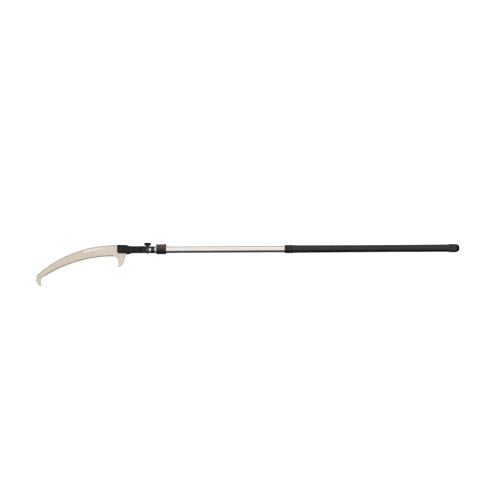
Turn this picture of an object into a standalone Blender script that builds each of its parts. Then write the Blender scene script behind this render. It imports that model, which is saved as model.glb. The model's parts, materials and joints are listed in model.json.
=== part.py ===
"""Telescoping pole saw, lying on its side with the pole closed.

X runs along the pole towards the butt, Y across it towards the knob, and Z is up, square to the blade.
The design is drawn in millimetres from the front face of the lock collar, on the pole's centre line.
The last step moves it so that the origin is under the middle of its bounding box.
"""

import math

import bmesh
import bpy
from mathutils import Matrix, Vector

MM = 0.001
GAP = 0.3

# Tubes: half sizes across (Y, Z), wall, and the power of the oval section.
OVAL_POWER = 2.4
OUTER_TUBE_HALF = (17.6, 14.0)
OUTER_TUBE_WALL = 1.5
OUTER_TUBE_ENDS = (7.4, 1622.0)
INNER_TUBE_HALF = (15.4, 11.8)
INNER_TUBE_WALL = 1.4
INNER_TUBE_ENDS = (-74.0, 1586.0)
RUNNING_GAP = 0.35

# Lock collar and its lever.
COLLAR_LENGTH = 53.4
COLLAR_TOP = 32.0
COLLAR_BOTTOM = -24.0
REST_HALF_Z = 20.5
COLLAR_ROUNDING = 2.0
COLLAR_BELLY = 17.0
COLLAR_RIM = 1.4
BUSH_SEAT = (2.5, 7.3)
LEVER_RECESS = (7.4, 43.0)
LEVER_FLOOR = 19.6
KNUCKLE_FLOOR = 18.2
KNUCKLE_REAR = 20.6
CHEEK_TOP = 25.4
LEVER_WAY_HALF_Z = 15.0
SHOE_WINDOW = (9.0, 26.6)
SHOE_WINDOW_HALF_Z = 5.0
SHOE_TOP = 18.7
PIN_X = 13.8
PIN_Y = 24.8
PIN_RADIUS = 2.0
LEVER_HALF_Z = 14.5
LEVER_REAR = 42.6
LEVER_UNDERSIDE = 20.2
KNUCKLE_RADIUS = 6.1
CAM_RADIUS = 4.6
CAM_OFFSET = 1.2
CAM_HALF_Z = 4.7
LUG_Z = (5.1, 8.6)
LUG_RADIUS = 4.2
LEVER_SLOT_HALF_Z = 8.9
COLLAR_SCREWS = {"collar_screw_front": 32.0, "collar_screw_rear": 44.0}
SCREW_HOLE_RADIUS = 1.9
# How far cutters reach: through a wall of a tube from inside, and clear of every piece.
TOP_WALL = (12.0, 22.0)
BOTTOM_WALL = (-22.0, -14.0)
INNER_TOP_WALL = (8.0, 22.0)
BEYOND = 40.0
SCREW_RECESS_RADIUS = 3.7
SCREW_SEAT_Y = -21.8

# Snap button, through both tubes.
BUTTON_X = 88.0
BUTTON_RADIUS = 5.0
BUTTON_TOP = 19.6
BUTTON_HOLE_RADIUS = 5.4
SPRING_HALF_Z = 4.0
SPRING_THICKNESS = 0.8

# Grip and butt.
GRIP_STATIONS = [
    (741.2, 21.2),
    (744.0, 21.8),
    (750.0, 21.4),
    (762.0, 21.0),
    (800.0, 20.7),
    (900.0, 20.3),
    (1060.0, 19.9),
    (1220.0, 19.8),
    (1380.0, 20.0),
    (1530.0, 20.3),
    (1584.6, 20.4),
]
GRIP_FLATNESS = 3.5
GRIP_RING_HALF = (22.4, 18.8)
GRIP_RING_ENDS = (695.4, 740.9)
CAP_STATIONS = [
    (1584.9, 22.3, 19.7, 4.0),
    (1585.7, 23.0, REST_HALF_Z, 4.0),
    (1600.0, 22.8, REST_HALF_Z, 4.0),
    (1622.6, 22.6, REST_HALF_Z, 4.0),
    (1627.0, 21.8, 19.8, 3.9),
    (1631.5, 19.8, 18.0, 3.7),
    (1635.5, 17.3, 15.7, 3.5),
    (1639.0, 15.0, 13.6, 3.3),
    (1641.6, 13.2, 12.0, 3.2),
    (1643.2, 11.8, 10.7, 3.1),
]
CAP_ENDS = (CAP_STATIONS[0][0], CAP_STATIONS[-1][0])
BUTT_PLUG_ENDS = (1595.0, 1621.7)
CAP_SCREW_X = 1640.7

# Blade: one flat sheet, with arcs and smooth curves round its edge.
BLADE_THICKNESS = 1.8
BLADE_BACK_CENTRE = (-228.4, -606.3)
BLADE_BACK_RADIUS = 633.7
BLADE_BACK_ENDS = (-636.0, -217.0)
TOOTH_LINE = [(-604.0, -140.6), (-546.0, -108.8), (-481.5, -81.0), (-394.9, -54.2), (-308.0, -39.4), (-233.0, -35.2)]
TOOTH_PITCH = 4.85
TOOTH_DEPTH = 3.6
TOOTH_RAKE = 0.68
TIP_HOOK = [
    (-642.5, -126.5),
    (-649.2, -138.0),
    (-652.8, -156.0),
    (-649.5, -173.0),
    (-642.0, -185.6),
    (-634.0, -192.0),
    (-627.0, -193.4),
    (-621.4, -190.6),
    (-620.2, -186.0),
    (-625.0, -180.2),
    (-627.4, -172.0),
    (-626.4, -160.0),
    (-625.2, -151.6),
    (-620.0, -146.0),
    (-611.0, -144.6),
]
BASE_SICKLE = [
    (-225.0, -35.8),
    (-217.0, -37.4),
    (-210.8, -45.0),
    (-207.0, -57.0),
    (-204.6, -70.0),
    (-205.6, -83.0),
    (-211.6, -92.6),
    (-205.5, -93.6),
    (-194.0, -91.6),
    (-184.5, -82.0),
    (-177.4, -69.0),
    (-174.6, -54.0),
    (-170.4, -42.0),
    (-169.4, -30.0),
]
SHOULDER_X = -213.0
ROOT_TOP = 23.4
ROOT_REAR = -169.4
TANG_REAR = -136.5
TANG_TOP = 13.5
TANG_BOTTOM = -11.5
TANG_CORNER = 4.0

# Head holder: stations along X as (x, top, bottom, half thickness, power).
HOLDER_STATIONS = [
    (-212.4, 26.6, -8.8, 9.6, 5.0),
    (-211.4, 28.4, -11.8, 11.2, 5.0),
    (-208.8, 29.3, -15.2, 12.2, 5.0),
    (-205.6, 29.3, -17.4, 12.6, 5.0),
    (-202.0, 29.2, -18.3, 12.8, 5.0),
    (-190.0, 29.0, -18.3, 13.4, 5.0),
    (-172.0, 28.7, -18.3, 14.2, 5.0),
    (-162.8, 28.5, -18.4, 14.4, 5.0),
    (-161.5, 28.4, -21.8, 14.5, 5.0),
    (-159.8, 28.3, -23.2, 14.6, 5.0),
    (-155.0, 27.2, -24.0, 14.8, 4.8),
    (-150.4, 23.6, -23.9, 15.0, 4.7),
    (-145.0, 22.6, -22.8, 15.2, 4.6),
    (-139.6, 22.1, -19.4, 15.5, 4.5),
    (-134.0, 21.6, -17.6, 15.7, 4.4),
    (-110.0, 21.2, -17.5, 16.1, 4.0),
    (-82.0, 21.4, -17.8, 16.3, 4.0),
    (-70.0, 20.4, -17.8, 16.4, 4.0),
    (-60.0, 18.3, -17.6, 16.4, 4.0),
    (-54.4, 18.2, -17.5, 16.4, 4.0),
    (-53.0, 16.9, -17.5, 15.3, 4.0),
    (-29.0, 16.9, -17.5, 15.3, 4.0),
]
SLEEVE_CENTRE_Y = -0.3
SLEEVE_HALF = (17.2, 15.3)
SLEEVE_POWER = 4.0
SLEEVE_SIDE_END = -39.5
REAR_OPENING_Y = (-9.5, 12.0)
CORE_FRONT = -106.0
CORE_INSET = 1.6
BLADE_SLOT_HALF = BLADE_THICKNESS / 2 + GAP
SIGHT_SLOT = (-92.0, -80.0)
SIGHT_SLOT_Y = 2.0
# Where cutters that run out through the holder's rear face end.
HOLDER_REAR = -20.0
SIGHT_SLOT_HALF_Y = 3.4
SLIT_HALF_Y = 0.6
BLADE_BOLTS = {"front": (-193.0, 4.0), "rear": (-159.5, 1.0)}
BOLT_SHANK_RADIUS = 2.75
BOLT_HOLE_RADIUS = 3.05
BOLT_HEAD_RADIUS = 5.2
BOLT_HEAD_SEAT = 9.8
NUT_SEAT = -9.3
NUT_THICKNESS = 4.0
NUT_ACROSS_FLATS = 10.0

# Tip ring on the inner tube.
TIP_RING_ENDS = (-28.6, -8.2)
TIP_RING_HALF = (18.5, 14.6)
TIP_RIVET = (-14.0, 2.0)

# Head clamp: saddle strap, through bolt and hand knob, square to the pole.
KNOB_X = -46.8
SADDLE_ENDS = (-52.0, -41.6)
SADDLE_THICKNESS = 1.2
SADDLE_LEG_END = -13.6
CLAMP_HOLE_RADIUS = 3.3
WASHER_Y = (18.7, 20.1)
WASHER_RADIUS = 9.4
KNOB_BASE = 20.4
KNOB_TOP = 39.4
KNOB_RADIUS = 19.4
KNOB_STEM_RADIUS = 8.4
KNOB_LOBES = 6
SCALLOP_REACH = 24.4
SCALLOP_RADIUS = 7.4
INSERT_RADIUS = 5.8
KNOB_CROWN = 3.1

COLOURS = {
    "aluminium": ((0.78, 0.77, 0.77), 0.34, 1.0),
    "blade_steel": ((0.66, 0.61, 0.53), 0.36, 1.0),
    "steel": ((0.52, 0.52, 0.51), 0.32, 1.0),
    "black_steel": ((0.075, 0.075, 0.08), 0.36, 1.0),
    "brass": ((0.72, 0.55, 0.26), 0.34, 1.0),
    "black_plastic": ((0.022, 0.022, 0.023), 0.48, 0.0),
    "black_rubber": ((0.030, 0.028, 0.028), 0.72, 0.0),
    "black_paint": ((0.020, 0.020, 0.021), 0.42, 0.0),
    "red_plastic": ((0.52, 0.020, 0.030), 0.38, 0.0),
    "acetal": ((0.62, 0.61, 0.57), 0.45, 0.0),
}

ALONG_X = Matrix(((0, 0, 1), (1, 0, 0), (0, 1, 0))).to_4x4()
ALONG_Y = Matrix.Rotation(-math.pi / 2, 4, "X")
ALONG_Z = Matrix.Identity(4)


# ---------------------------------------------------------------- outlines


def oval(half_y, half_z, power=OVAL_POWER, centre_y=0.0, count=40):
    """A superellipse in the plane across the pole, as (y, z) points."""
    points = []
    for index in range(count):
        angle = 2 * math.pi * (index + 0.5) / count
        cosine = math.cos(angle)
        sine = math.sin(angle)
        y = half_y * math.copysign(abs(cosine) ** (2 / power), cosine)
        z = half_z * math.copysign(abs(sine) ** (2 / power), sine)
        points.append((centre_y + y, z))
    return points


def grown(half, amount):
    """Half sizes of an oval moved outwards by an amount."""
    return half[0] + amount, half[1] + amount


def arc(centre, radius, start, end, count):
    """Points along an arc, with its angles in degrees."""
    points = []
    for index in range(count + 1):
        angle = math.radians(start + (end - start) * index / count)
        points.append((centre[0] + radius * math.cos(angle), centre[1] + radius * math.sin(angle)))
    return points


def smooth_curve(points, steps):
    """A Catmull-Rom curve through the points, ends included."""
    padded = [points[0], *points, points[-1]]
    curve = []
    for index in range(1, len(padded) - 2):
        before, here, there, after = (Vector(p) for p in padded[index - 1 : index + 3])
        for step in range(steps):
            t = step / steps
            place = here * 2 + (there - before) * t
            place += (before * 2 - here * 5 + there * 4 - after) * t**2
            place += (here * 3 - before - there * 3 + after) * t**3
            curve.append(tuple(place / 2))
    curve.append(tuple(points[-1]))
    return curve


def saw_teeth(line):
    """Teeth along a line drawn from the tip to the handle: each leans back towards the handle."""
    lengths = [0.0]
    for here, there in zip(line, line[1:]):
        lengths.append(lengths[-1] + math.dist(here, there))

    def place(distance, depth):
        index = max(1, min(len(line) - 1, sum(length < distance for length in lengths)))
        here, there = Vector(line[index - 1]), Vector(line[index])
        share = (distance - lengths[index - 1]) / (lengths[index] - lengths[index - 1])
        along = (there - here).normalized()
        inwards = Vector((-along.y, along.x))
        return tuple(here.lerp(there, share) + inwards * depth)

    count = round(lengths[-1] / TOOTH_PITCH)
    pitch = lengths[-1] / count
    points = []
    for tooth in range(count):
        points.append(place(tooth * pitch, TOOTH_DEPTH))
        points.append(place((tooth + TOOTH_RAKE) * pitch, 0.0))
    points.append(place(lengths[-1], TOOTH_DEPTH))
    return points


def blade_outline():
    """The blade's edge, from the shoulder along the back, round the hook, the teeth and the base sickle."""
    angles = []
    for x in reversed(BLADE_BACK_ENDS):
        angles.append(math.degrees(math.acos((x - BLADE_BACK_CENTRE[0]) / BLADE_BACK_RADIUS)))
    back = arc(BLADE_BACK_CENTRE, BLADE_BACK_RADIUS, *angles, 40)
    shoulder = [(SHOULDER_X, ROOT_TOP), (SHOULDER_X, 25.0), (SHOULDER_X - 1.2, 26.8)]
    hook = smooth_curve(TIP_HOOK, 6)
    teeth = saw_teeth(smooth_curve(TOOTH_LINE, 8))
    sickle = smooth_curve(BASE_SICKLE, 3)
    corner = TANG_CORNER
    tang = [
        (ROOT_REAR, TANG_BOTTOM),
        (TANG_REAR - corner, TANG_BOTTOM),
        (TANG_REAR, TANG_BOTTOM + corner),
        (TANG_REAR, TANG_TOP - corner),
        (TANG_REAR - corner, TANG_TOP),
        (ROOT_REAR, TANG_TOP),
        (ROOT_REAR - 3.0, ROOT_TOP),
    ]
    return shoulder + back + hook + teeth + sickle + tang


def strip(points, thickness):
    """The outline of a bent strip, from the line that its middle follows."""
    left, right = [], []
    for index, point in enumerate(points):
        before = Vector(points[max(index - 1, 0)])
        after = Vector(points[min(index + 1, len(points) - 1)])
        along = (after - before).normalized()
        across = Vector((-along.y, along.x)) * thickness / 2
        left.append(tuple(Vector(point) + across))
        right.append(tuple(Vector(point) - across))
    return left + right[::-1]


# ---------------------------------------------------------------- solids


def collection(name):
    made = bpy.data.collections.new(name)
    bpy.context.scene.collection.children.link(made)
    return made


def material(name):
    made = bpy.data.materials.new(name)
    made.use_nodes = True
    return made


def paint(obj, finish):
    """Give a piece its own material, in one of the finishes."""
    colour, roughness, metallic = COLOURS[finish]
    made = material(obj.name)
    shader = made.node_tree.nodes["Principled BSDF"]
    shader.inputs["Base Color"].default_value = (*colour, 1.0)
    shader.inputs["Roughness"].default_value = roughness
    shader.inputs["Metallic"].default_value = metallic
    made.diffuse_color = (*colour, 1.0)
    obj.data.materials.clear()
    obj.data.materials.append(made)


def object_from(name, bm, place=ALONG_Z):
    """A new object from a bmesh drawn in millimetres, turned by a matrix."""
    bmesh.ops.transform(bm, matrix=Matrix.Scale(MM, 4) @ place, verts=bm.verts)
    bmesh.ops.recalc_face_normals(bm, faces=bm.faces)
    mesh = bpy.data.meshes.new(name)
    bm.to_mesh(mesh)
    bm.free()
    mesh.shade_smooth()
    mesh.set_sharp_from_angle(angle=math.radians(35))
    obj = bpy.data.objects.new(name, mesh)
    bpy.context.scene.collection.objects.link(obj)
    return obj


def prism(name, outlines, start, end, place):
    """Flat outlines, the second one a hole, drawn out from start to end along the third axis."""
    curve = bpy.data.curves.new(name, "CURVE")
    curve.dimensions = "2D"
    curve.fill_mode = "BOTH"
    curve.extrude = (end - start) / 2
    for outline in outlines:
        spline = curve.splines.new("POLY")
        spline.points.add(len(outline) - 1)
        spline.use_cyclic_u = True
        for point, (u, v) in zip(spline.points, outline):
            point.co = (u, v, 0.0, 1.0)
    drawn = bpy.data.objects.new(name + "_outline", curve)
    bpy.context.scene.collection.objects.link(drawn)
    evaluated = drawn.evaluated_get(bpy.context.evaluated_depsgraph_get())
    mesh = bpy.data.meshes.new_from_object(evaluated)
    bm = bmesh.new()
    bm.from_mesh(mesh)
    bpy.data.meshes.remove(mesh)
    bpy.data.objects.remove(drawn)
    bpy.data.curves.remove(curve)
    bmesh.ops.remove_doubles(bm, verts=bm.verts, dist=0.001)
    bmesh.ops.translate(bm, vec=(0.0, 0.0, (start + end) / 2), verts=bm.verts)
    return object_from(name, bm, place)


def oval_tube(name, half, inner_half, ends):
    return prism(name, [oval(*half, OVAL_POWER), oval(*inner_half, OVAL_POWER)], *ends, ALONG_X)


def loft(name, stations, count=40):
    """A solid through unlike oval sections along X, each (x, top, bottom, half thickness, power)."""
    bm = bmesh.new()
    rings = []
    for x, top, bottom, half_z, power in stations:
        section = oval((top - bottom) / 2, half_z, power, (top + bottom) / 2, count)
        rings.append([bm.verts.new((x, y, z)) for y, z in section])
    for ring, following in zip(rings, rings[1:]):
        for index in range(count):
            other = (index + 1) % count
            bm.faces.new((ring[index], ring[other], following[other], following[index]))
    bm.faces.new(rings[0])
    bm.faces.new(rings[-1])
    return object_from(name, bm)


def block(name, x, y, z):
    """A box between two limits on each axis."""
    bm = bmesh.new()
    bmesh.ops.create_cube(bm, size=1.0)
    bmesh.ops.scale(bm, vec=(x[1] - x[0], y[1] - y[0], z[1] - z[0]), verts=bm.verts)
    middle = (sum(x) / 2, sum(y) / 2, sum(z) / 2)
    bmesh.ops.translate(bm, vec=middle, verts=bm.verts)
    return object_from(name, bm)


def rod(name, centre, radius, start, end, place, count=24):
    """A cylinder about a point of the plane across its axis, from start to end along the axis."""
    bm = bmesh.new()
    bmesh.ops.create_cone(
        bm,
        cap_ends=True,
        segments=count,
        radius1=radius,
        radius2=radius,
        depth=end - start,
        matrix=Matrix.Translation((*centre, (start + end) / 2)) @ Matrix.Rotation(math.pi / count, 4, "Z"),
    )
    return object_from(name, bm, place)


def hexagon(centre, across_flats):
    radius = across_flats / math.sqrt(3)
    return arc(centre, radius, 0, 300, 5)


def circle(centre, radius, count=32):
    return arc(centre, radius, 0, 360 - 360 / count, count - 1)


def turned(name, profile, place, steps=28, ring=False):
    """A profile of (radius, height) points, from the top down its outer side, turned about its axis."""
    bm = bmesh.new()
    points = [bm.verts.new((radius * MM, 0.0, height * MM)) for radius, height in profile]
    for here, there in zip(points, points[1:]):
        bm.edges.new((here, there))
    if ring:
        bm.edges.new((points[-1], points[0]))
    mesh = bpy.data.meshes.new(name)
    bm.to_mesh(mesh)
    bm.free()
    obj = bpy.data.objects.new(name, mesh)
    bpy.context.scene.collection.objects.link(obj)
    obj.matrix_world = place
    screw = obj.modifiers.new("turn", "SCREW")
    screw.axis = "Z"
    screw.angle = 2 * math.pi
    screw.steps = steps
    screw.render_steps = steps
    screw.use_merge_vertices = True
    screw.merge_threshold = 0.00001
    screw.use_smooth_shade = True
    return obj


def axis_place(x, y, z, turn):
    """A turned piece's place: its axis through a point, along the direction that a matrix gives."""
    return Matrix.Translation(Vector((x, y, z)) * MM) @ turn


def combine(target, other, operation):
    """Cut or join another shape, which is kept apart from the parts."""
    other.name = "cutter_" + other.name if operation == "DIFFERENCE" else "joined_" + other.name
    other.hide_render = True
    other.display_type = "WIRE"
    modifier = target.modifiers.new(other.name, "BOOLEAN")
    modifier.operation = operation
    modifier.solver = "EXACT"
    modifier.object = other
    return other


class Model:
    """The parts and their cutters, each in its own collection."""

    def __init__(self):
        self.parts = collection("telescoping_pole_saw")
        self.cutters = collection("cutters")
        self.frames = {}

    def move_to(self, obj, owner):
        for holder in list(obj.users_collection):
            holder.objects.unlink(obj)
        owner.objects.link(obj)

    def frame(self, name, place, parent=None):
        """An empty on a joint's axis, or at the origin of the design."""
        empty = bpy.data.objects.new(name, None)
        empty.empty_display_size = 0.02
        self.parts.objects.link(empty)
        self.frames[name] = (empty, Vector(place) * MM)
        self.attach(empty, self.frames[name][1], parent)
        return name

    def attach(self, obj, place, parent):
        origin = Vector((0, 0, 0))
        if parent:
            obj.parent, origin = self.frames[parent]
        obj.location = place - origin

    def add(self, obj, finish, parent):
        paint(obj, finish)
        self.move_to(obj, self.parts)
        self.attach(obj, obj.location.copy(), parent)
        return obj

    def cut(self, target, *others):
        for other in others:
            combine(target, other, "DIFFERENCE")
            self.keep_apart(target, other)

    def join(self, target, *others):
        for other in others:
            combine(target, other, "UNION")
            self.keep_apart(target, other)

    def keep_apart(self, target, other):
        self.move_to(other, self.cutters)
        if target.parent:
            other.parent = target.parent
            frame = next(place for empty, place in self.frames.values() if empty == target.parent)
            other.location = other.location - frame


# ---------------------------------------------------------------- pole


def make_outer_pole(model):
    inner = grown(OUTER_TUBE_HALF, -OUTER_TUBE_WALL)
    tube = model.add(oval_tube("outer_tube", OUTER_TUBE_HALF, inner, OUTER_TUBE_ENDS), "aluminium", "pole")
    model.cut(
        tube,
        block("shoe_window", SHOE_WINDOW, TOP_WALL, (-SHOE_WINDOW_HALF_Z, SHOE_WINDOW_HALF_Z)),
        rod("button_hole", (BUTTON_X, 0), BUTTON_HOLE_RADIUS, *TOP_WALL, ALONG_Y),
    )
    for name, x in COLLAR_SCREWS.items():
        model.cut(tube, rod(name + "_pilot", (x, 0), SCREW_HOLE_RADIUS, *BOTTOM_WALL, ALONG_Y, 20))


def make_grip(model):
    """The rubber sleeve, a little waisted, and the plastic ring ahead of it."""
    bore = grown(OUTER_TUBE_HALF, GAP)
    stations = [(x, half, -half, half - GRIP_FLATNESS, OVAL_POWER) for x, half in GRIP_STATIONS]
    sleeve = model.add(loft("grip_sleeve", stations), "black_rubber", "pole")
    start, end = GRIP_RING_ENDS
    model.cut(sleeve, prism("grip_bore", [oval(*bore)], end, GRIP_STATIONS[-1][0] + 5, ALONG_X))
    half_y, half_z = GRIP_RING_HALF
    rim = 1.2
    stations = []
    for x, inset in ((start, rim), (start + rim, 0.0), (end - rim, 0.0), (end, rim)):
        stations.append((x, half_y - inset, inset - half_y, half_z - inset, OVAL_POWER))
    ring = model.add(loft("grip_front_ring", stations), "black_plastic", "pole")
    model.cut(ring, prism("ring_bore", [oval(*bore)], start - 5, end + 5, ALONG_X))


def make_butt(model):
    """The domed rubber cap, and the plug in the tube that its screw bites."""
    start, end = CAP_ENDS
    stations = [(x, half_y, -half_y, half_z, power) for x, half_y, half_z, power in CAP_STATIONS]
    cap = model.add(loft("end_cap", stations), "black_rubber", "pole")
    bore = grown(OUTER_TUBE_HALF, GAP)
    model.cut(
        cap,
        prism("cap_bore", [oval(*bore)], start - 5, OUTER_TUBE_ENDS[1] + GAP, ALONG_X),
        rod("cap_screw_hole", (0, 0), 2.6, OUTER_TUBE_ENDS[1] - 5, end + 5, ALONG_X, 24),
        rod("cap_screw_recess", (0, 0), 5.4, CAP_SCREW_X - GAP, end + 5, ALONG_X),
    )
    plug_half = grown(OUTER_TUBE_HALF, -OUTER_TUBE_WALL - GAP)
    plug = model.add(prism("butt_plug", [oval(*plug_half)], *BUTT_PLUG_ENDS, ALONG_X), "acetal", "pole")
    plug_hole = rod("plug_hole", (0, 0), 2.2, BUTT_PLUG_ENDS[0] - 5, BUTT_PLUG_ENDS[1] + 5, ALONG_X, 24)
    model.cut(plug, plug_hole)
    profile = [(0, 2.2), (3.4, 2.0), (4.7, 1.0), (4.9, 0), (1.9, 0), (1.9, -24.5), (1.2, -27), (0, -27)]
    screw = turned("cap_screw", profile, axis_place(CAP_SCREW_X, 0, 0, ALONG_X), 24)
    model.add(screw, "steel", "pole")


# ---------------------------------------------------------------- collar


def make_collar(model):
    corner_y, corner_z = COLLAR_TOP - COLLAR_ROUNDING, REST_HALF_Z - COLLAR_ROUNDING
    belly_y, belly_z = COLLAR_BOTTOM + COLLAR_BELLY, REST_HALF_Z - COLLAR_BELLY
    section = arc((corner_y, corner_z), COLLAR_ROUNDING, 0, 90, 4)
    section += arc((belly_y, belly_z), COLLAR_BELLY, 90, 180, 9)
    section += arc((belly_y, -belly_z), COLLAR_BELLY, 180, 270, 9)
    section += arc((corner_y, -corner_z), COLLAR_ROUNDING, 270, 360, 4)
    collar = prism("clamp_collar", [section], 0, COLLAR_LENGTH, ALONG_X)
    bevel = collar.modifiers.new("rounding", "BEVEL")
    bevel.width = COLLAR_RIM * MM
    bevel.segments = 3
    bevel.limit_method = "ANGLE"
    bevel.angle_limit = math.radians(60)
    model.add(collar, "black_plastic", "pole")
    front, rear = LEVER_RECESS
    recess = [(front, BEYOND), (front, KNUCKLE_FLOOR), (KNUCKLE_REAR, KNUCKLE_FLOOR), (KNUCKLE_REAR, LEVER_FLOOR)]
    recess += [(rear, LEVER_FLOOR), (rear, BEYOND)]
    model.cut(
        collar,
        prism("lever_recess", [recess], -LEVER_WAY_HALF_Z, LEVER_WAY_HALF_Z, ALONG_Z),
        block("lever_opening", LEVER_RECESS, (CHEEK_TOP, BEYOND), (-BEYOND, BEYOND)),
    )
    lug = arc((PIN_X, PIN_Y), LUG_RADIUS, 0, 180, 14)
    lug += [(PIN_X - LUG_RADIUS, 14.5), (PIN_X + LUG_RADIUS, 14.5)]
    model.join(
        collar,
        prism("lug_left", [lug], -LUG_Z[1], -LUG_Z[0], ALONG_Z),
        prism("lug_right", [lug], *LUG_Z, ALONG_Z),
    )
    bore = []
    steps = (
        (-5, BUSH_SEAT[0], grown(INNER_TUBE_HALF, 2 * GAP)),
        (*BUSH_SEAT, grown(OUTER_TUBE_HALF, 3 * GAP)),
        (BUSH_SEAT[1], COLLAR_LENGTH + 5, grown(OUTER_TUBE_HALF, GAP)),
    )
    for start, end, half in steps:
        for x in (start, end):
            bore.append((x, half[0], -half[0], half[1], OVAL_POWER))
    model.cut(
        collar,
        loft("stepped_bore", bore),
        block("shoe_way", SHOE_WINDOW, TOP_WALL, (-SHOE_WINDOW_HALF_Z, SHOE_WINDOW_HALF_Z)),
        rod("pin_hole", (PIN_X, PIN_Y), PIN_RADIUS + GAP, -12, 12, ALONG_Z, 24),
    )
    for name, x in COLLAR_SCREWS.items():
        model.cut(
            collar,
            rod(name + "_hole", (x, 0), SCREW_HOLE_RADIUS, -BEYOND, BOTTOM_WALL[1], ALONG_Y, 20),
            rod(name + "_recess", (x, 0), SCREW_RECESS_RADIUS, -BEYOND, SCREW_SEAT_Y + GAP, ALONG_Y, 24),
        )
        profile = [(0, 5.2), (1.2, 5.2), (1.6, 4.4), (1.6, 0), (3.2, 0), (3.2, -1.2), (2.4, -1.8), (0, -1.9)]
        screw = turned(name, profile, axis_place(x, SCREW_SEAT_Y, 0, ALONG_Y), 20)
        model.add(screw, "steel", "pole")
    bush = oval_tube("mouth_bush", grown(OUTER_TUBE_HALF, 2 * GAP), grown(INNER_TUBE_HALF, RUNNING_GAP), (2.8, 7.0))
    model.add(bush, "acetal", "pole")
    model.add(rod("lever_pin", (PIN_X, PIN_Y), PIN_RADIUS, -14.2, 14.2, ALONG_Z, 24), "steel", "pole")


def make_lever(model):
    knuckle = arc((PIN_X, PIN_Y), KNUCKLE_RADIUS, 90, 270, 14)
    top = PIN_Y + KNUCKLE_RADIUS
    meeting = PIN_X + math.sqrt(KNUCKLE_RADIUS**2 - (PIN_Y - LEVER_UNDERSIDE) ** 2)
    rear_low = arc((LEVER_REAR - 1.5, LEVER_UNDERSIDE + 1.5), 1.5, 270, 360, 3)
    rear_high = arc((LEVER_REAR - 3.0, top - 3.0), 3.0, 0, 90, 5)
    outline = knuckle + [(meeting, LEVER_UNDERSIDE)] + rear_low + rear_high
    lever = prism("clamp_lever", [outline], -LEVER_HALF_Z, LEVER_HALF_Z, ALONG_Z)
    model.add(lever, "red_plastic", "lever_axis")
    sweep = arc((PIN_X, PIN_Y), LUG_RADIUS + 0.4, 0, 90, 8)
    sweep += [(PIN_X, 40), (0, 40), (0, 10), (PIN_X + LUG_RADIUS + 0.4, 10)]
    model.cut(
        lever,
        block("finger_pocket", (23.0, 39.5), (15, 28.0), (-12, 12)),
        prism("lug_slot", [sweep], -LEVER_SLOT_HALF_Z, LEVER_SLOT_HALF_Z, ALONG_Z),
    )
    cam_y = PIN_Y - CAM_OFFSET
    cam = arc((PIN_X, cam_y), CAM_RADIUS, 90, 360, 24)
    cam += [(PIN_X + 7.5, cam_y), (PIN_X + 7.5, cam_y + CAM_RADIUS)]
    model.join(lever, prism("cam", [cam], -CAM_HALF_Z, CAM_HALF_Z, ALONG_Z))
    model.cut(lever, rod("lever_pin_hole", (PIN_X, PIN_Y), PIN_RADIUS + GAP, -20, 20, ALONG_Z, 24))
    half_z = SHOE_WINDOW_HALF_Z - 2 * GAP
    shoe = block(
        "brake_shoe",
        (SHOE_WINDOW[0] + 2 * GAP, SHOE_WINDOW[1] - 2 * GAP),
        (INNER_TUBE_HALF[0] + RUNNING_GAP, SHOE_TOP),
        (-half_z, half_z),
    )
    bevel = shoe.modifiers.new("rounding", "BEVEL")
    bevel.width = 0.4 * MM
    bevel.segments = 2
    model.add(shoe, "black_rubber", "shoe_axis")


# ---------------------------------------------------------------- inner pole


def make_inner_pole(model):
    inner = grown(INNER_TUBE_HALF, -INNER_TUBE_WALL)
    tube = model.add(oval_tube("inner_tube", INNER_TUBE_HALF, inner, INNER_TUBE_ENDS), "aluminium", "inner_pole")
    model.cut(
        tube,
        rod("tube_bolt_hole", (KNOB_X, 0), CLAMP_HOLE_RADIUS, -25, 25, ALONG_Y, 24),
        rod("tube_button_hole", (BUTTON_X, 0), BUTTON_HOLE_RADIUS, *INNER_TOP_WALL, ALONG_Y),
        rod("tube_rivet_hole", TIP_RIVET, SCREW_HOLE_RADIUS, 8, 20, ALONG_Z, 20),
    )
    plug = grown(inner, -GAP)
    flange = grown(OUTER_TUBE_HALF, -OUTER_TUBE_WALL - GAP)
    end = INNER_TUBE_ENDS[1] + GAP
    stations = []
    for x, half in ((end - 22, plug), (end, plug), (end, flange), (end + 5.5, flange)):
        stations.append((x, half[0], -half[0], half[1], OVAL_POWER))
    bush = model.add(loft("tail_bush", stations), "acetal", "inner_pole")
    model.cut(bush, rod("bush_bore", (0, 0), 6.5, end - 30, end + 12, ALONG_X))


def make_snap_button(model):
    profile = [
        (0, BUTTON_TOP),
        (2.2, BUTTON_TOP - 0.2),
        (3.8, BUTTON_TOP - 0.8),
        (4.7, BUTTON_TOP - 1.7),
        (BUTTON_RADIUS, BUTTON_TOP - 2.8),
        (BUTTON_RADIUS, 11.8),
        (6.2, 11.8),
        (6.2, 10.6),
        (0, 10.6),
    ]
    button = turned("snap_button", profile, axis_place(BUTTON_X, 0, 0, ALONG_Y))
    model.add(button, "steel", "snap_axis")
    bend = arc((BUTTON_X + 58, -1.5), 3.0, 84, -84, 8)
    upper = [(BUTTON_X - 7, 9.85), (BUTTON_X + 8, 9.85)]
    lower = [(BUTTON_X + 4, -12.4), (BUTTON_X - 7, -12.4)]
    spring = prism("snap_spring", [strip(upper + bend + lower, SPRING_THICKNESS)], -SPRING_HALF_Z, SPRING_HALF_Z, ALONG_Z)
    model.add(spring, "steel", "inner_pole")


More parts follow.
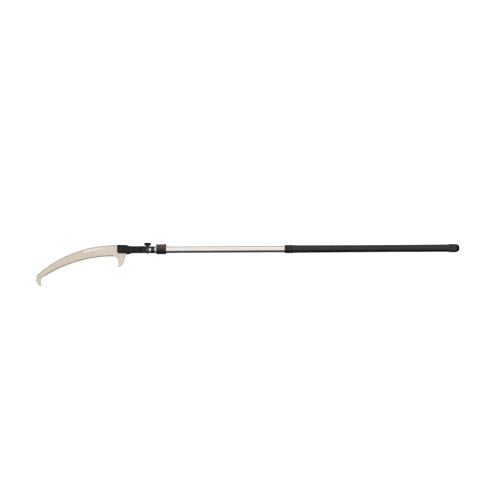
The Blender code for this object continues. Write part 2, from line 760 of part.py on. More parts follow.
def make_tip_ring(model):
    bore = grown(INNER_TUBE_HALF, RUNNING_GAP)
    ring = model.add(oval_tube("tip_ring", TIP_RING_HALF, bore, TIP_RING_ENDS), "black_plastic", "inner_pole")
    model.cut(ring, rod("ring_rivet_hole", TIP_RIVET, SCREW_HOLE_RADIUS, 8, 20, ALONG_Z, 20))
    profile = [(0, 1.3), (1.6, 1.15), (2.7, 0.6), (3.2, 0), (1.6, 0), (1.6, -4.6), (0, -4.6)]
    rivet = turned("tip_ring_rivet", profile, axis_place(*TIP_RIVET, TIP_RING_HALF[1] + GAP, ALONG_Z), 24)
    model.add(rivet, "steel", "inner_pole")


# ---------------------------------------------------------------- head


def make_blade(model):
    half = BLADE_THICKNESS / 2
    blade = model.add(prism("saw_blade", [blade_outline()], -half, half, ALONG_Z), "blade_steel", "inner_pole")
    for name, centre in BLADE_BOLTS.items():
        model.cut(blade, rod("blade_hole_" + name, centre, BOLT_HOLE_RADIUS, -BEYOND, BEYOND, ALONG_Z, 24))


def keyhole():
    """The outline of the upper side's sight slot, and of the slit behind it that lets the sleeve close."""
    front, rear = SIGHT_SLOT
    radius = SIGHT_SLOT_HALF_Y
    y = SIGHT_SLOT_Y
    slit = math.degrees(math.asin(SLIT_HALF_Y / radius))
    outline = arc((front, y), radius, 90, 270, 12) + arc((rear, y), radius, 270, 360 - slit, 6)
    outline += [(HOLDER_REAR, y - SLIT_HALF_Y), (HOLDER_REAR, y + SLIT_HALF_Y)]
    return outline + arc((rear, y), radius, slit, 90, 6)


def make_holder(model):
    holder = model.add(loft("head_holder", HOLDER_STATIONS), "black_paint", "inner_pole")
    slot = (-BLADE_SLOT_HALF, BLADE_SLOT_HALF)
    wide = (-BEYOND, BEYOND)
    tube_bore = oval(*grown(INNER_TUBE_HALF, RUNNING_GAP))
    core = oval(*grown(INNER_TUBE_HALF, -CORE_INSET))
    shoulder = INNER_TUBE_ENDS[0] - GAP
    model.cut(
        holder,
        block("blade_slot", (-230, ROOT_REAR + 0.5), (-60, ROOT_TOP + 0.5), slot),
        block("tang_slot", (ROOT_REAR - 1, TANG_REAR + 1), (TANG_BOTTOM - 0.5, TANG_TOP + 0.5), slot),
        prism("holder_core", [core], CORE_FRONT, shoulder + 1, ALONG_X),
        prism("holder_bore", [tube_bore], shoulder, HOLDER_REAR, ALONG_X),
        block("rear_opening", (SLEEVE_SIDE_END, HOLDER_REAR), REAR_OPENING_Y, wide),
        prism("clamp_slit", [keyhole()], 0, BEYOND, ALONG_Z),
        rod("holder_bolt_hole", (KNOB_X, 0), CLAMP_HOLE_RADIUS, *wide, ALONG_Y, 24),
    )
    for name, centre in BLADE_BOLTS.items():
        recess = hexagon(centre, NUT_ACROSS_FLATS + 2 * GAP)
        model.cut(
            holder,
            rod("bolt_hole_" + name, centre, BOLT_HOLE_RADIUS, *wide, ALONG_Z, 24),
            rod("head_recess_" + name, centre, BOLT_HEAD_RADIUS + GAP, BOLT_HEAD_SEAT - GAP, BEYOND, ALONG_Z),
            prism("nut_recess_" + name, [recess], -BEYOND, NUT_SEAT + GAP, ALONG_Z),
        )


def make_blade_bolts(model):
    for name, centre in BLADE_BOLTS.items():
        shank = BOLT_SHANK_RADIUS
        head = BOLT_HEAD_RADIUS
        profile = [(0, 2.8), (head - 0.5, 2.8), (head, 2.3), (head, 0), (shank, 0), (shank, -22.4), (0, -22.9)]
        bolt = turned("blade_bolt_" + name, profile, axis_place(*centre, BOLT_HEAD_SEAT, ALONG_Z))
        model.add(bolt, "black_steel", "inner_pole")
        socket = prism("hex_socket_" + name, [hexagon(centre, 4.0)], BOLT_HEAD_SEAT + 1.0, 20, ALONG_Z)
        model.cut(bolt, socket)
        outlines = [hexagon(centre, NUT_ACROSS_FLATS), circle(centre, BOLT_HOLE_RADIUS, 24)]
        nut = prism("blade_nut_" + name, outlines, NUT_SEAT - NUT_THICKNESS, NUT_SEAT, ALONG_Z)
        model.add(nut, "steel", "inner_pole")


def make_head_clamp(model):
    sections = []
    for amount in (GAP + SADDLE_THICKNESS, GAP):
        sections.append(oval(*grown(SLEEVE_HALF, amount), SLEEVE_POWER, SLEEVE_CENTRE_Y, 56))
    saddle = model.add(prism("clamp_saddle", sections, *SADDLE_ENDS, ALONG_X), "black_steel", "inner_pole")
    model.cut(
        saddle,
        block("saddle_open_side", (-60, -30), (-BEYOND, SADDLE_LEG_END), (-BEYOND, BEYOND)),
        rod("saddle_hole", (KNOB_X, 0), CLAMP_HOLE_RADIUS, 5, 30, ALONG_Y, 24),
    )
    shank = BOLT_SHANK_RADIUS
    profile = [(0, 32.6), (shank - 0.6, 32.6), (shank, 32.0), (shank, -17.8), (4.2, -17.8), (4.2, -21.9)]
    profile += [(3.4, -22.9), (0, -22.9)]
    bolt = turned("clamp_bolt", profile, axis_place(KNOB_X, 0, 0, ALONG_Y), 24)
    model.add(bolt, "black_steel", "inner_pole")
    low, high = WASHER_Y
    hole = CLAMP_HOLE_RADIUS
    profile = [(hole, high), (WASHER_RADIUS - 0.3, high), (WASHER_RADIUS, high - 0.3), (WASHER_RADIUS, low), (hole, low)]
    washer = turned("knob_washer", profile, axis_place(KNOB_X, 0, 0, ALONG_Y), ring=True)
    model.add(washer, "black_steel", "washer_axis")


def make_knob(model):
    base = KNOB_BASE
    bore = INSERT_RADIUS + GAP
    profile = [
        (0, KNOB_TOP),
        (KNOB_RADIUS - 3.2, KNOB_TOP),
        (KNOB_RADIUS - 1.2, KNOB_TOP - 0.8),
        (KNOB_RADIUS - 0.2, KNOB_TOP - 2.2),
        (KNOB_RADIUS, KNOB_TOP - 3.8),
        (KNOB_RADIUS, KNOB_TOP - 10.4),
        (KNOB_RADIUS - 0.9, KNOB_TOP - 12.2),
        (KNOB_RADIUS - 3.4, KNOB_TOP - 13.4),
        (KNOB_STEM_RADIUS + 1.2, KNOB_TOP - 14.8),
        (KNOB_STEM_RADIUS, base + 1.6),
        (KNOB_STEM_RADIUS, base),
        (bore, base),
        (bore, KNOB_TOP - KNOB_CROWN),
        (0, KNOB_TOP - KNOB_CROWN),
    ]
    knob = turned("clamp_knob", profile, axis_place(KNOB_X, 0, 0, ALONG_Y), 40)
    model.add(knob, "black_plastic", "knob_axis")
    for lobe in range(KNOB_LOBES):
        angle = 2 * math.pi * (lobe + 0.5) / KNOB_LOBES
        centre = (KNOB_X + SCALLOP_REACH * math.cos(angle), SCALLOP_REACH * math.sin(angle))
        scallop = rod(f"knob_scallop_{lobe}", centre, SCALLOP_RADIUS, KNOB_TOP - 14, KNOB_TOP + 5, ALONG_Y)
        model.cut(knob, scallop)
    low, high = base + GAP, KNOB_TOP - KNOB_CROWN - GAP
    hole = BOLT_HOLE_RADIUS
    profile = [(hole, high), (INSERT_RADIUS, high), (INSERT_RADIUS, low), (hole, low)]
    insert = turned("knob_insert", profile, axis_place(KNOB_X, 0, 0, ALONG_Y), ring=True)
    model.add(insert, "brass", "knob_axis")


# ---------------------------------------------------------------- assembly


def main():
    for obj in list(bpy.data.objects):
        bpy.data.objects.remove(obj, do_unlink=True)
    model = Model()
    model.frame("pole", (0, 0, 0))
    model.frame("lever_axis", (PIN_X, PIN_Y, 0), "pole")
    model.frame("shoe_axis", (PIN_X, SHOE_TOP, 0), "pole")
    model.frame("inner_pole", (0, 0, 0), "pole")
    model.frame("snap_axis", (BUTTON_X, BUTTON_TOP, 0), "inner_pole")
    model.frame("washer_axis", (KNOB_X, WASHER_Y[0], 0), "inner_pole")
    model.frame("knob_axis", (KNOB_X, KNOB_BASE, 0), "washer_axis")
    make_outer_pole(model)
    make_grip(model)
    make_butt(model)
    make_collar(model)
    make_lever(model)
    make_inner_pole(model)
    make_snap_button(model)
    make_tip_ring(model)
    make_blade(model)
    make_holder(model)
    make_blade_bolts(model)
    make_head_clamp(model)
    make_knob(model)
    edge = blade_outline()
    low_x = min(x for x, _ in edge)
    low_y = min(y for _, y in edge)
    centre = Vector(((low_x + CAP_ENDS[1]) / 2, (low_y + KNOB_TOP) / 2, -REST_HALF_Z))
    model.frames["pole"][0].location = -centre * MM
    bpy.context.view_layer.update()


main()
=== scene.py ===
"""The telescoping pole saw's looks: fine meshes, finishes, floor, light and camera.

Shapes are drawn in millimetres from the front face of the lock collar, on the pole's centre line,
with X along the pole towards the butt, Y towards the head's knob and Z up, as in the CAD model.
"""

import json
import math

import bmesh
import bpy
from mathutils import Matrix, Vector


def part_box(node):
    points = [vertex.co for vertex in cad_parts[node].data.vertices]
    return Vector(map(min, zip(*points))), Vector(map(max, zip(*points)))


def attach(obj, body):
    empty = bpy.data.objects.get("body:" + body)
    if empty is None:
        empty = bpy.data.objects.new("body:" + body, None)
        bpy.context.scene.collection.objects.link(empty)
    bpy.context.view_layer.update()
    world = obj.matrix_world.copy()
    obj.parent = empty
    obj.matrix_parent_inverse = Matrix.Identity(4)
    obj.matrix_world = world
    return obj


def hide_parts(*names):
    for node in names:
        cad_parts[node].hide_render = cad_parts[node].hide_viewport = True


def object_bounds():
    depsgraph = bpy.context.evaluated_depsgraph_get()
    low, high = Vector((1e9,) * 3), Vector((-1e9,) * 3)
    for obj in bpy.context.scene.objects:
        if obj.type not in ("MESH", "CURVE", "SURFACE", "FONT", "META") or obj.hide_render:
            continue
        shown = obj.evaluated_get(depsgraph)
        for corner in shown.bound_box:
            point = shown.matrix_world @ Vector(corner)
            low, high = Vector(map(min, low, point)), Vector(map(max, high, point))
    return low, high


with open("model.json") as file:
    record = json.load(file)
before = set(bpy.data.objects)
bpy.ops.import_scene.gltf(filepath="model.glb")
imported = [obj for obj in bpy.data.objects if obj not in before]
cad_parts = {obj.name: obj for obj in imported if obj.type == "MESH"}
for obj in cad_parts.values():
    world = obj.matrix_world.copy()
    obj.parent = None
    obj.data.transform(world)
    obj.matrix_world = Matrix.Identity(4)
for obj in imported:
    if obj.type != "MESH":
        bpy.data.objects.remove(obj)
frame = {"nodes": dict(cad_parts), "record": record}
CAD_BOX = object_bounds()

MM = 0.001
TUBE_LOW, TUBE_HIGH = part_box("outer_tube")
TUBE_MIDDLE = (TUBE_LOW + TUBE_HIGH) / 2
ORIGIN = Vector((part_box("clamp_collar")[0].x, TUBE_MIDDLE.y, TUBE_MIDDLE.z))
RECORD = frame["record"]
BODY_OF = {node: body for body, nodes in RECORD["behaviour"]["bodies"].items() for node in nodes}
SLOT_OF = {part["node"]: part["material_slot"] for part in RECORD["subparts"]}

# Oval sections: the power of the superellipse and the number of points round it.
OVAL_POWER = 2.4
SQUARE_POWER = 4.0
ROUND_COUNT = 96

# Clearances between neighbours, as in the CAD model.
GAP = 0.3
RUNNING_GAP = 0.35

ALONG_X = Matrix(((0, 0, 1), (1, 0, 0), (0, 1, 0))).to_4x4()
ALONG_Y = Matrix.Rotation(-math.pi / 2, 4, "X")
ALONG_Z = Matrix.Identity(4)
AGAINST_Y = Matrix.Rotation(math.pi / 2, 4, "X")

# How far cutters reach: clear of every piece, through one wall of a tube, and just past a face.
BEYOND = 40.0
TOP_WALL = (12.0, 22.0)
BOTTOM_WALL = (-22.0, -14.0)
PAST = 4.0

# Tubes, and the holes that go through them and the collar.
OUTER_TUBE_WALL = 1.5
INNER_TUBE_WALL = 1.4
BUTTON_HOLE_RADIUS = 5.4
OUTER_HOLE_FLOOR = 15.0
INNER_HOLE_FLOOR = 12.0
SCREW_HOLE_RADIUS = 1.9
RIVET_WALL = (8.0, 20.0)
COLLAR_SCREWS = ("collar_screw_front", "collar_screw_rear")

# Lock collar and lever.
LEVER_RECESS = (7.4, 43.0)
LEVER_FLOOR = 19.6
KNUCKLE_FLOOR = 18.2
KNUCKLE_REAR = 20.6
CHEEK_TOP = 25.4
LEVER_WAY_HALF_Z = 15.0
SHOE_WINDOW = (9.0, 26.6)
SHOE_WINDOW_HALF_Z = 5.0
LEVER_UNDERSIDE = 20.2
KNUCKLE_RADIUS = 6.1
CAM_RADIUS = 4.6
CAM_OFFSET = 1.2
CAM_HALF_Z = 4.7
LUG_Z = (5.1, 8.6)
LUG_RADIUS = 4.2
LEVER_SLOT_HALF_Z = 8.9
BUSH_SEAT = (2.5, 7.3)
COLLAR_CORNER = 2.0
COLLAR_BELLY = 17.0
COLLAR_RIM = 1.4
COLLAR_GROOVE = (44.3, 45.2)
COLLAR_GROOVE_DEPTH = 0.6
COLLAR_PANEL = ((11.0, 40.5), (-5.0, 20.0))
SCREW_RECESS_RADIUS = 3.7
SCREW_RECESS_FLOOR = -21.5
PIN_HOLE_RADIUS = 2.3
LUG_FOOT = 14.5
FINGER_POCKET = ((23.0, 39.5), (-12.0, 12.0))
FINGER_POCKET_Y = (15.0, 28.0)

# Grip and end cap: stations along X as (x, half width) and as (x, half width, half thickness, power).
# The grip is thinner than it is wide by its flatness.
GRIP_STATIONS = [
    (741.2, 21.0), (742.2, 21.4), (744.0, 21.8), (750.0, 21.4), (762.0, 21.0),
    (800.0, 20.7), (900.0, 20.3), (1060.0, 19.9), (1220.0, 19.8), (1380.0, 20.0),
    (1530.0, 20.3), (1583.8, 20.4), (1584.6, 19.8),
]
GRIP_FLATNESS = 3.5
# The CAD's ovals have fewer points, so finer ones are drawn slimmer by this to stay inside.
CHORD = 0.05
CAP_STATIONS = [
    (1584.9, 22.3, 19.8, 4.0), (1585.15, 22.7, 20.2, 4.0), (1585.7, 23.0, 20.5, 4.0),
    (1600.0, 22.8, 20.5, 4.0), (1621.4, 22.6, 20.5, 4.0), (1624.6, 22.3, 20.2, 4.0),
    (1627.0, 21.8, 19.7, 3.9), (1629.4, 20.9, 18.9, 3.8), (1631.5, 19.8, 17.9, 3.7),
    (1633.6, 18.5, 16.8, 3.6), (1635.5, 17.3, 15.7, 3.5), (1637.3, 16.1, 14.6, 3.4),
    (1639.0, 15.0, 13.6, 3.3), (1640.4, 14.1, 12.8, 3.25), (1641.6, 13.2, 12.0, 3.2),
    (1642.6, 12.4, 11.3, 3.15), (1643.2, 11.6, 10.5, 3.1),
]

# Blade outline, as in the CAD model.
BACK_CENTRE = (-228.4, -606.3)
BACK_RADIUS = 633.7
BACK_ENDS = (-636.0, -217.0)
TOOTH_LINE = [
    (-604.0, -140.6), (-546.0, -108.8), (-481.5, -81.0),
    (-394.9, -54.2), (-308.0, -39.4), (-233.0, -35.2),
]
TOOTH_PITCH = 4.85
TOOTH_DEPTH = 3.6
TOOTH_RAKE = 0.68
TIP_HOOK = [
    (-642.5, -126.5), (-649.2, -138.0), (-652.8, -156.0), (-649.5, -173.0), (-642.0, -185.6),
    (-634.0, -192.0), (-627.0, -193.4), (-621.4, -190.6), (-620.2, -186.0), (-625.0, -180.2),
    (-627.4, -172.0), (-626.4, -160.0), (-625.2, -151.6), (-620.0, -146.0), (-611.0, -144.6),
]
BASE_SICKLE = [
    (-225.0, -35.8), (-217.0, -37.4), (-210.8, -45.0), (-207.0, -57.0), (-204.6, -70.0),
    (-205.6, -83.0), (-211.6, -92.6), (-205.5, -93.6), (-194.0, -91.6), (-184.5, -82.0),
    (-177.4, -69.0), (-174.6, -54.0), (-170.4, -42.0), (-169.4, -30.0),
]
SICKLE_POINT = 6
SHOULDER_X = -213.0
ROOT_TOP = 23.4
ROOT_REAR = -169.4
TANG_REAR = -136.5
TANG_TOP = 13.5
TANG_BOTTOM = -11.5
TANG_CORNER = 4.0
# Where the blued teeth and the painted highlight streak under the back fade in and, the other way, out: (x,
# length).
HARDENED_ENDS = ((-606.0, 1.0), (-229.0, -1.0))
HIGHLIGHT_STREAK_ENDS = ((-402.0, 16.0), (-252.0, -70.0))
# Depths below the back, in metres, between which the painted highlight streak, the band of painted shade and
# the darker rim come or go.
HIGHLIGHT_STREAK_RISE = (0.0085, 0.012)
HIGHLIGHT_STREAK_FALL = (0.016, 0.021)
SHADE_BAND_FALL = (0.006, 0.009)
DARK_RIM_FALL = (0.0004, 0.0022)
# How upright the normals are between which the blued facets give way to the flat faces.
FACET_TILT = (0.9945, 0.9975)
# Metres from the origin between which the blade's grinding gets paler, along the pole.
POLISHED_RISE = (-0.400, -0.300)

# Head holder: stations along X as (x, top, bottom, half thickness, power).
HOLDER_STATIONS = [
    (-212.4, 26.6, -8.8, 9.6, 5.0), (-211.9, 27.7, -10.4, 10.6, 5.0),
    (-211.0, 28.7, -12.5, 11.4, 5.0), (-208.8, 29.2, -15.2, 12.2, 5.0),
    (-207.2, 29.3, -16.5, 12.4, 5.0), (-205.6, 29.3, -17.4, 12.6, 5.0),
    (-203.8, 29.25, -18.0, 12.7, 5.0), (-202.0, 29.2, -18.3, 12.8, 5.0),
    (-190.0, 29.0, -18.3, 13.4, 5.0), (-172.0, 28.7, -18.3, 14.2, 5.0),
    (-162.8, 28.5, -18.4, 14.4, 5.0), (-161.5, 28.4, -21.8, 14.5, 5.0),
    (-159.8, 28.3, -23.2, 14.6, 5.0), (-157.6, 27.8, -23.8, 14.7, 4.9),
    (-155.0, 27.1, -24.0, 14.8, 4.8), (-152.6, 25.4, -24.0, 14.9, 4.8),
    (-150.4, 23.6, -23.9, 15.0, 4.7), (-145.0, 22.6, -22.8, 15.2, 4.6),
    (-142.2, 22.3, -21.4, 15.4, 4.55), (-139.6, 22.1, -19.4, 15.5, 4.5),
    (-137.4, 21.9, -18.2, 15.6, 4.45), (-134.0, 21.6, -17.6, 15.7, 4.4),
    (-110.0, 21.2, -17.5, 16.1, 4.0), (-82.0, 21.4, -17.8, 16.3, 4.0),
    (-70.0, 20.4, -17.8, 16.4, 4.0), (-60.0, 18.3, -17.6, 16.4, 4.0),
    (-54.9, 18.2, -17.5, 16.4, 4.0), (-54.2, 18.0, -17.5, 16.2, 4.0),
    (-53.4, 17.1, -17.5, 15.4, 4.0), (-52.8, 16.9, -17.5, 15.3, 4.0),
    (-29.6, 16.9, -17.5, 15.3, 4.0), (-29.0, 16.4, -17.0, 14.8, 4.0),
]
SLEEVE_HALF = (17.2, 15.3)
SLEEVE_CENTRE_Y = -0.3
SLEEVE_SIDE_END = -39.5
REAR_OPENING_Y = (-9.5, 12.0)
CORE_FRONT = -106.0
CORE_INSET = 1.6
SIGHT_SLOT = (-92.0, -80.0)
SIGHT_SLOT_Y = 2.0
SIGHT_SLOT_HALF_Y = 3.4
SLIT_HALF_Y = 0.6
HOLDER_REAR = -20.0
HOLDER_PANEL = (-146.0, -62.0, 8.6)
HOLDER_PANEL_FLOOR = 14.9
HOLDER_CHEEK = ((-207.5, -176.0), (-13.5, 22.5))
HOLDER_CHEEK_FLOOR = 12.6
BLADE_PLAY = 0.5
SADDLE_WALL = 1.2
BLADE_BOLTS = {"front": (-193.0, 4.0), "rear": (-159.5, 1.0)}
BOLT_HOLE_RADIUS = 3.05
BOLT_HEAD_RADIUS = 5.2
BOLT_HEAD_SEAT = 9.8
NUT_SEAT = -9.3
NUT_ACROSS_FLATS = 10.0
CLAMP_HOLE_RADIUS = 3.3

# Degrees from the zenith, positive towards +Y, and the level seen in a reflection there.
WORLD_STOPS = [
    (-180, 0.015), (-75, 0.03), (-45, 0.06), (-24, 0.09), (-16, 0.76), (-9, 0.92), (2, 0.98), (12, 0.88),
    (22, 0.84), (34, 0.97), (48, 1.0), (62, 0.96), (80, 0.62), (100, 0.40), (135, 0.18), (180, 0.04),
]
WORLD_TINT = Vector((1.0, 0.985, 0.98))
# Reflections fade towards the pole's ends: the shares of that direction, and the levels, at start and stop.
WORLD_FADE = (0.30, 0.75, 1.0, 0.12)
WORLD_PLAIN = (0.95, 0.95, 0.95, 1.0)
WORLD_DIFFUSE = 0.25


def extent(node):
    """A CAD node's lowest and highest corners, in millimetres of the drawing frame."""
    low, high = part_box(node)
    return (low - ORIGIN) / MM, (high - ORIGIN) / MM


def axis_of(node):
    """The middle of a CAD node, in millimetres of the drawing frame."""
    low, high = extent(node)
    return (low + high) / 2


def half_of(node):
    """Half sizes across the pole, (y, z), of a node that is centred on it."""
    low, high = extent(node)
    return (high.y - low.y) / 2, (high.z - low.z) / 2


def ends_of(node):
    """A node's two ends along the pole."""
    low, high = extent(node)
    return low.x, high.x


# ---- outlines


def oval(half_y, half_z, power=OVAL_POWER, centre_y=0.0):
    """A superellipse in the plane across the pole, as (y, z) points."""
    points = []
    for index in range(ROUND_COUNT):
        angle = 2 * math.pi * (index + 0.5) / ROUND_COUNT
        cosine = math.cos(angle)
        sine = math.sin(angle)
        y = half_y * math.copysign(abs(cosine) ** (2 / power), cosine)
        z = half_z * math.copysign(abs(sine) ** (2 / power), sine)
        points.append((centre_y + y, z))
    return points


def grown(half, amount):
    return half[0] + amount, half[1] + amount


def arc(centre, radius, start, end, count):
    """Points along an arc, with its angles in degrees."""
    points = []
    for index in range(count + 1):
        angle = math.radians(start + (end - start) * index / count)
        points.append((centre[0] + radius * math.cos(angle), centre[1] + radius * math.sin(angle)))
    return points


def circle(centre, radius, count=40):
    turn = 180 / count
    return arc(centre, radius, turn, 360 - turn, count - 1)


def hexagon(centre, across_flats):
    return arc(centre, across_flats / math.sqrt(3), 0, 300, 5)


def rounded_box(u, v, radius, steps=6):
    """A rectangle between two limits on each axis, with round corners."""
    points = []
    for centre, start in (
        ((u[1] - radius, v[1] - radius), 0),
        ((u[0] + radius, v[1] - radius), 90),
        ((u[0] + radius, v[0] + radius), 180),
        ((u[1] - radius, v[0] + radius), 270),
    ):
        points += arc(centre, radius, start, start + 90, steps)
    return points


def smooth_curve(points, steps):
    """A Catmull-Rom curve through the points, ends included."""
    padded = [points[0], *points, points[-1]]
    curve = []
    for index in range(1, len(padded) - 2):
        before, here, there, after = (Vector(p) for p in padded[index - 1 : index + 3])
        for step in range(steps):
            t = step / steps
            place = here * 2 + (there - before) * t
            place += (before * 2 - here * 5 + there * 4 - after) * t**2
            place += (here * 3 - before - there * 3 + after) * t**3
            curve.append(tuple(place / 2))
    curve.append(tuple(points[-1]))
    return curve


def inset(outline, amounts, ways=()):
    """Each corner moved by its own amount, along its given way or inwards from its two edges."""
    area = sum(a[0] * b[1] - b[0] * a[1] for a, b in zip(outline, outline[1:] + outline[:1]))
    side = math.copysign(1.0, area)
    moved = []
    for index, (corner, amount) in enumerate(zip(outline, amounts)):
        here = Vector(corner)
        if ways and ways[index]:
            moved.append(tuple(here + ways[index] * amount))
            continue
        arriving = (here - Vector(outline[index - 1])).normalized()
        leaving = (Vector(outline[(index + 1) % len(outline)]) - here).normalized()
        first = Vector((-arriving.y, arriving.x)) * side
        second = Vector((-leaving.y, leaving.x)) * side
        inwards = (first + second).normalized()
        moved.append(tuple(here + inwards * amount / max(inwards.dot(first), 0.5)))
    return moved


# ---- solids


def object_from(name, bm, place=ALONG_Z):
    """A new object from a bmesh drawn in millimetres, turned by a matrix and put in the frame."""
    to_frame = Matrix.Translation(ORIGIN) @ Matrix.Scale(MM, 4)
    bmesh.ops.transform(bm, matrix=to_frame @ place, verts=bm.verts)
    bmesh.ops.recalc_face_normals(bm, faces=bm.faces)
    mesh = bpy.data.meshes.new(name)
    bm.to_mesh(mesh)
    bm.free()
    obj = bpy.data.objects.new(name, mesh)
    bpy.context.scene.collection.objects.link(obj)
    return obj


def skin(name, rings, place=ALONG_Z, closed=False):
    """A solid through rings of 3-D points, capped or closed on itself. A ring of one point is a pole."""
    bm = bmesh.new()
    made = [[bm.verts.new(point) for point in ring] for ring in rings]
    count = max(len(ring) for ring in made)
    following = made[1:] + made[:1] if closed else made[1:]
    for ring, other in zip(made, following):
        for index in range(count):
            after = index + 1
            corners = [
                ring[index % len(ring)],
                ring[after % len(ring)],
                other[after % len(other)],
                other[index % len(other)],
            ]
            bm.faces.new(list(dict.fromkeys(corners)))
    if not closed:
        for ring in (made[0], made[-1]):
            if len(ring) > 2:
                bm.faces.new(ring)
    return object_from(name, bm, place)


def stack(name, levels, place=ALONG_Z):
    """A solid through flat outlines, each given as (height on the third axis, outline)."""
    rings = []
    for height, outline in levels:
        rings.append([(u, v, height) for u, v in outline])
    return skin(name, rings, place)


def prism(name, outline, start, end, place=ALONG_Z, edge=0.0):
    """An outline drawn out along the third axis, with its two rims chamfered by an edge width."""
    if not edge:
        return stack(name, [(start, outline), (end, outline)], place)
    small = inset(outline, [edge] * len(outline))
    levels = [(start, small), (start + edge, outline), (end - edge, outline), (end, small)]
    return stack(name, levels, place)


def loft(name, stations, closed=False):
    """A solid through oval sections along X, each (x, half y, half z), with its power and centre y if given."""
    rings = []
    for x, *section in stations:
        rings.append([(x, y, z) for y, z in oval(*section)])
    return skin(name, rings, closed=closed)


def round_ends(start, end, half, edge, power=OVAL_POWER, centre_y=0.0, steps=4, inwards=1):
    """Stations of one section, with both rims rounded: inwards is -1 for the mouths of a bore."""
    stations = []
    for step in range(steps + 1):
        angle = math.pi / 2 * step / steps
        drop = inwards * edge * (1 - math.sin(angle))
        along = edge * (1 - math.cos(angle))
        stations.append((start + along, half[0] - drop, half[1] - drop, power, centre_y))
    for x, half_y, half_z, *rest in reversed(stations[:]):
        stations.append((start + end - x, half_y, half_z, *rest))
    return stations


def sleeve(node, bore, edge, grooves=()):
    """A node's hollow oval piece, with rounded rims and grooves round it, each (x, width, depth)."""
    outer = half_of(node)
    ends = ends_of(node)
    stations = round_ends(*ends, outer, edge)
    middle = len(stations) // 2
    cuts = []
    for x, width, depth in grooves:
        for along, amount in ((-1 / 2, 0.0), (-1 / 6, depth), (1 / 6, depth), (1 / 2, 0.0)):
            cuts.append((x + along * width, *grown(outer, -amount)))
    inside = round_ends(*ends, bore, edge * 0.4, steps=2, inwards=-1)
    return loft("fine_" + node, stations[:middle] + cuts + stations[middle:] + inside[::-1], closed=True)


def dome(radius, top, rise, steps, power=1.0):
    """A domed head's profile of (radius, height) points, from its pole out to its rim."""
    points = [(0, top)]
    for step in range(1, steps + 1):
        angle = math.pi / 2 * step / steps
        points.append((radius * math.sin(angle) ** power, top - rise * (1 - math.cos(angle))))
    return points


def lathe(name, profile, place, steps=48, ring=False, warp=None):
    """A profile of (radius, height) points turned about an axis. A warp changes the radius."""
    rings = []
    for radius, height in profile:
        if radius == 0:
            rings.append([(0.0, 0.0, height)])
            continue
        points = []
        for step in range(steps):
            angle = 2 * math.pi * (step + 0.5) / steps
            reach = warp(radius, angle) if warp else radius
            points.append((reach * math.cos(angle), reach * math.sin(angle), height))
        rings.append(points)
    return skin(name, rings, place, closed=ring)


def block(name, x, y, z):
    """A box between two limits on each axis."""
    outline = [(x[0], y[0]), (x[1], y[0]), (x[1], y[1]), (x[0], y[1])]
    return prism(name, outline, *z)


def rod(name, centre, radius, start, end, place, count=40):
    return prism(name, circle(centre, radius, count), start, end, place)


def flared(name, outline, mouths, place=ALONG_Z, flare=0.5):
    """A cutter for a through opening, whose two mouths are chamfered a little."""
    low, high = mouths
    wide = inset(outline, [-flare] * len(outline))
    levels = [(low - PAST, wide), (low, wide), (low + flare, outline)]
    levels += [(high - flare, outline), (high, wide), (high + PAST, wide)]
    return stack(name, levels, place)


def at(x, y, z, turn):
    """A place whose axis goes through a point, along the direction that a matrix gives."""
    return Matrix.Translation(Vector((x, y, z))) @ turn


def settle(obj):
    """Make the mesh that the modifiers give the object's own."""
    graph = bpy.context.evaluated_depsgraph_get()
    mesh = bpy.data.meshes.new_from_object(obj.evaluated_get(graph))
    obj.modifiers.clear()
    obj.data = mesh


def combine(obj, others, operation):
    for other in others:
        modifier = obj.modifiers.new(other.name, "BOOLEAN")
        modifier.operation = operation
        modifier.solver = "EXACT"
        modifier.object = other
        other.hide_render = True
    settle(obj)
    for other in others:
        bpy.data.objects.remove(other)


def cut(obj, *others):
    combine(obj, others, "DIFFERENCE")


def join(obj, *others):
    combine(obj, others, "UNION")


def soften(obj, width, segments=2, angle=40.0):
    """Round the edges that are sharper than an angle."""
    bevel = obj.modifiers.new("edges", "BEVEL")
    bevel.width = width * MM
    bevel.segments = segments
    bevel.limit_method = "ANGLE"
    bevel.angle_limit = math.radians(angle)
    bevel.use_clamp_overlap = True
    settle(obj)


def place_piece(obj, node, smooth_angle=38.0):
    """Shade a piece, give it its node's finish and body, and hide the node that it stands for."""
    obj.data.shade_smooth()
    obj.data.set_sharp_from_angle(angle=math.radians(smooth_angle))
    normals = obj.modifiers.new("normals", "WEIGHTED_NORMAL")
    normals.keep_sharp = True
    settle(obj)
    slot = SLOT_OF[node]
    obj.data.materials.clear()
    obj.data.materials.append(OWN_FINISHES.get(node, FINISHES[slot]))
    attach(obj, BODY_OF[node])
    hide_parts(node)


def turned(node, profile, place, steps=48, **options):
    """A piece that is turned about an axis and needs no cutting."""
    place_piece(lathe("fine_" + node, profile, place, steps, **options), node)


# ---- finishes


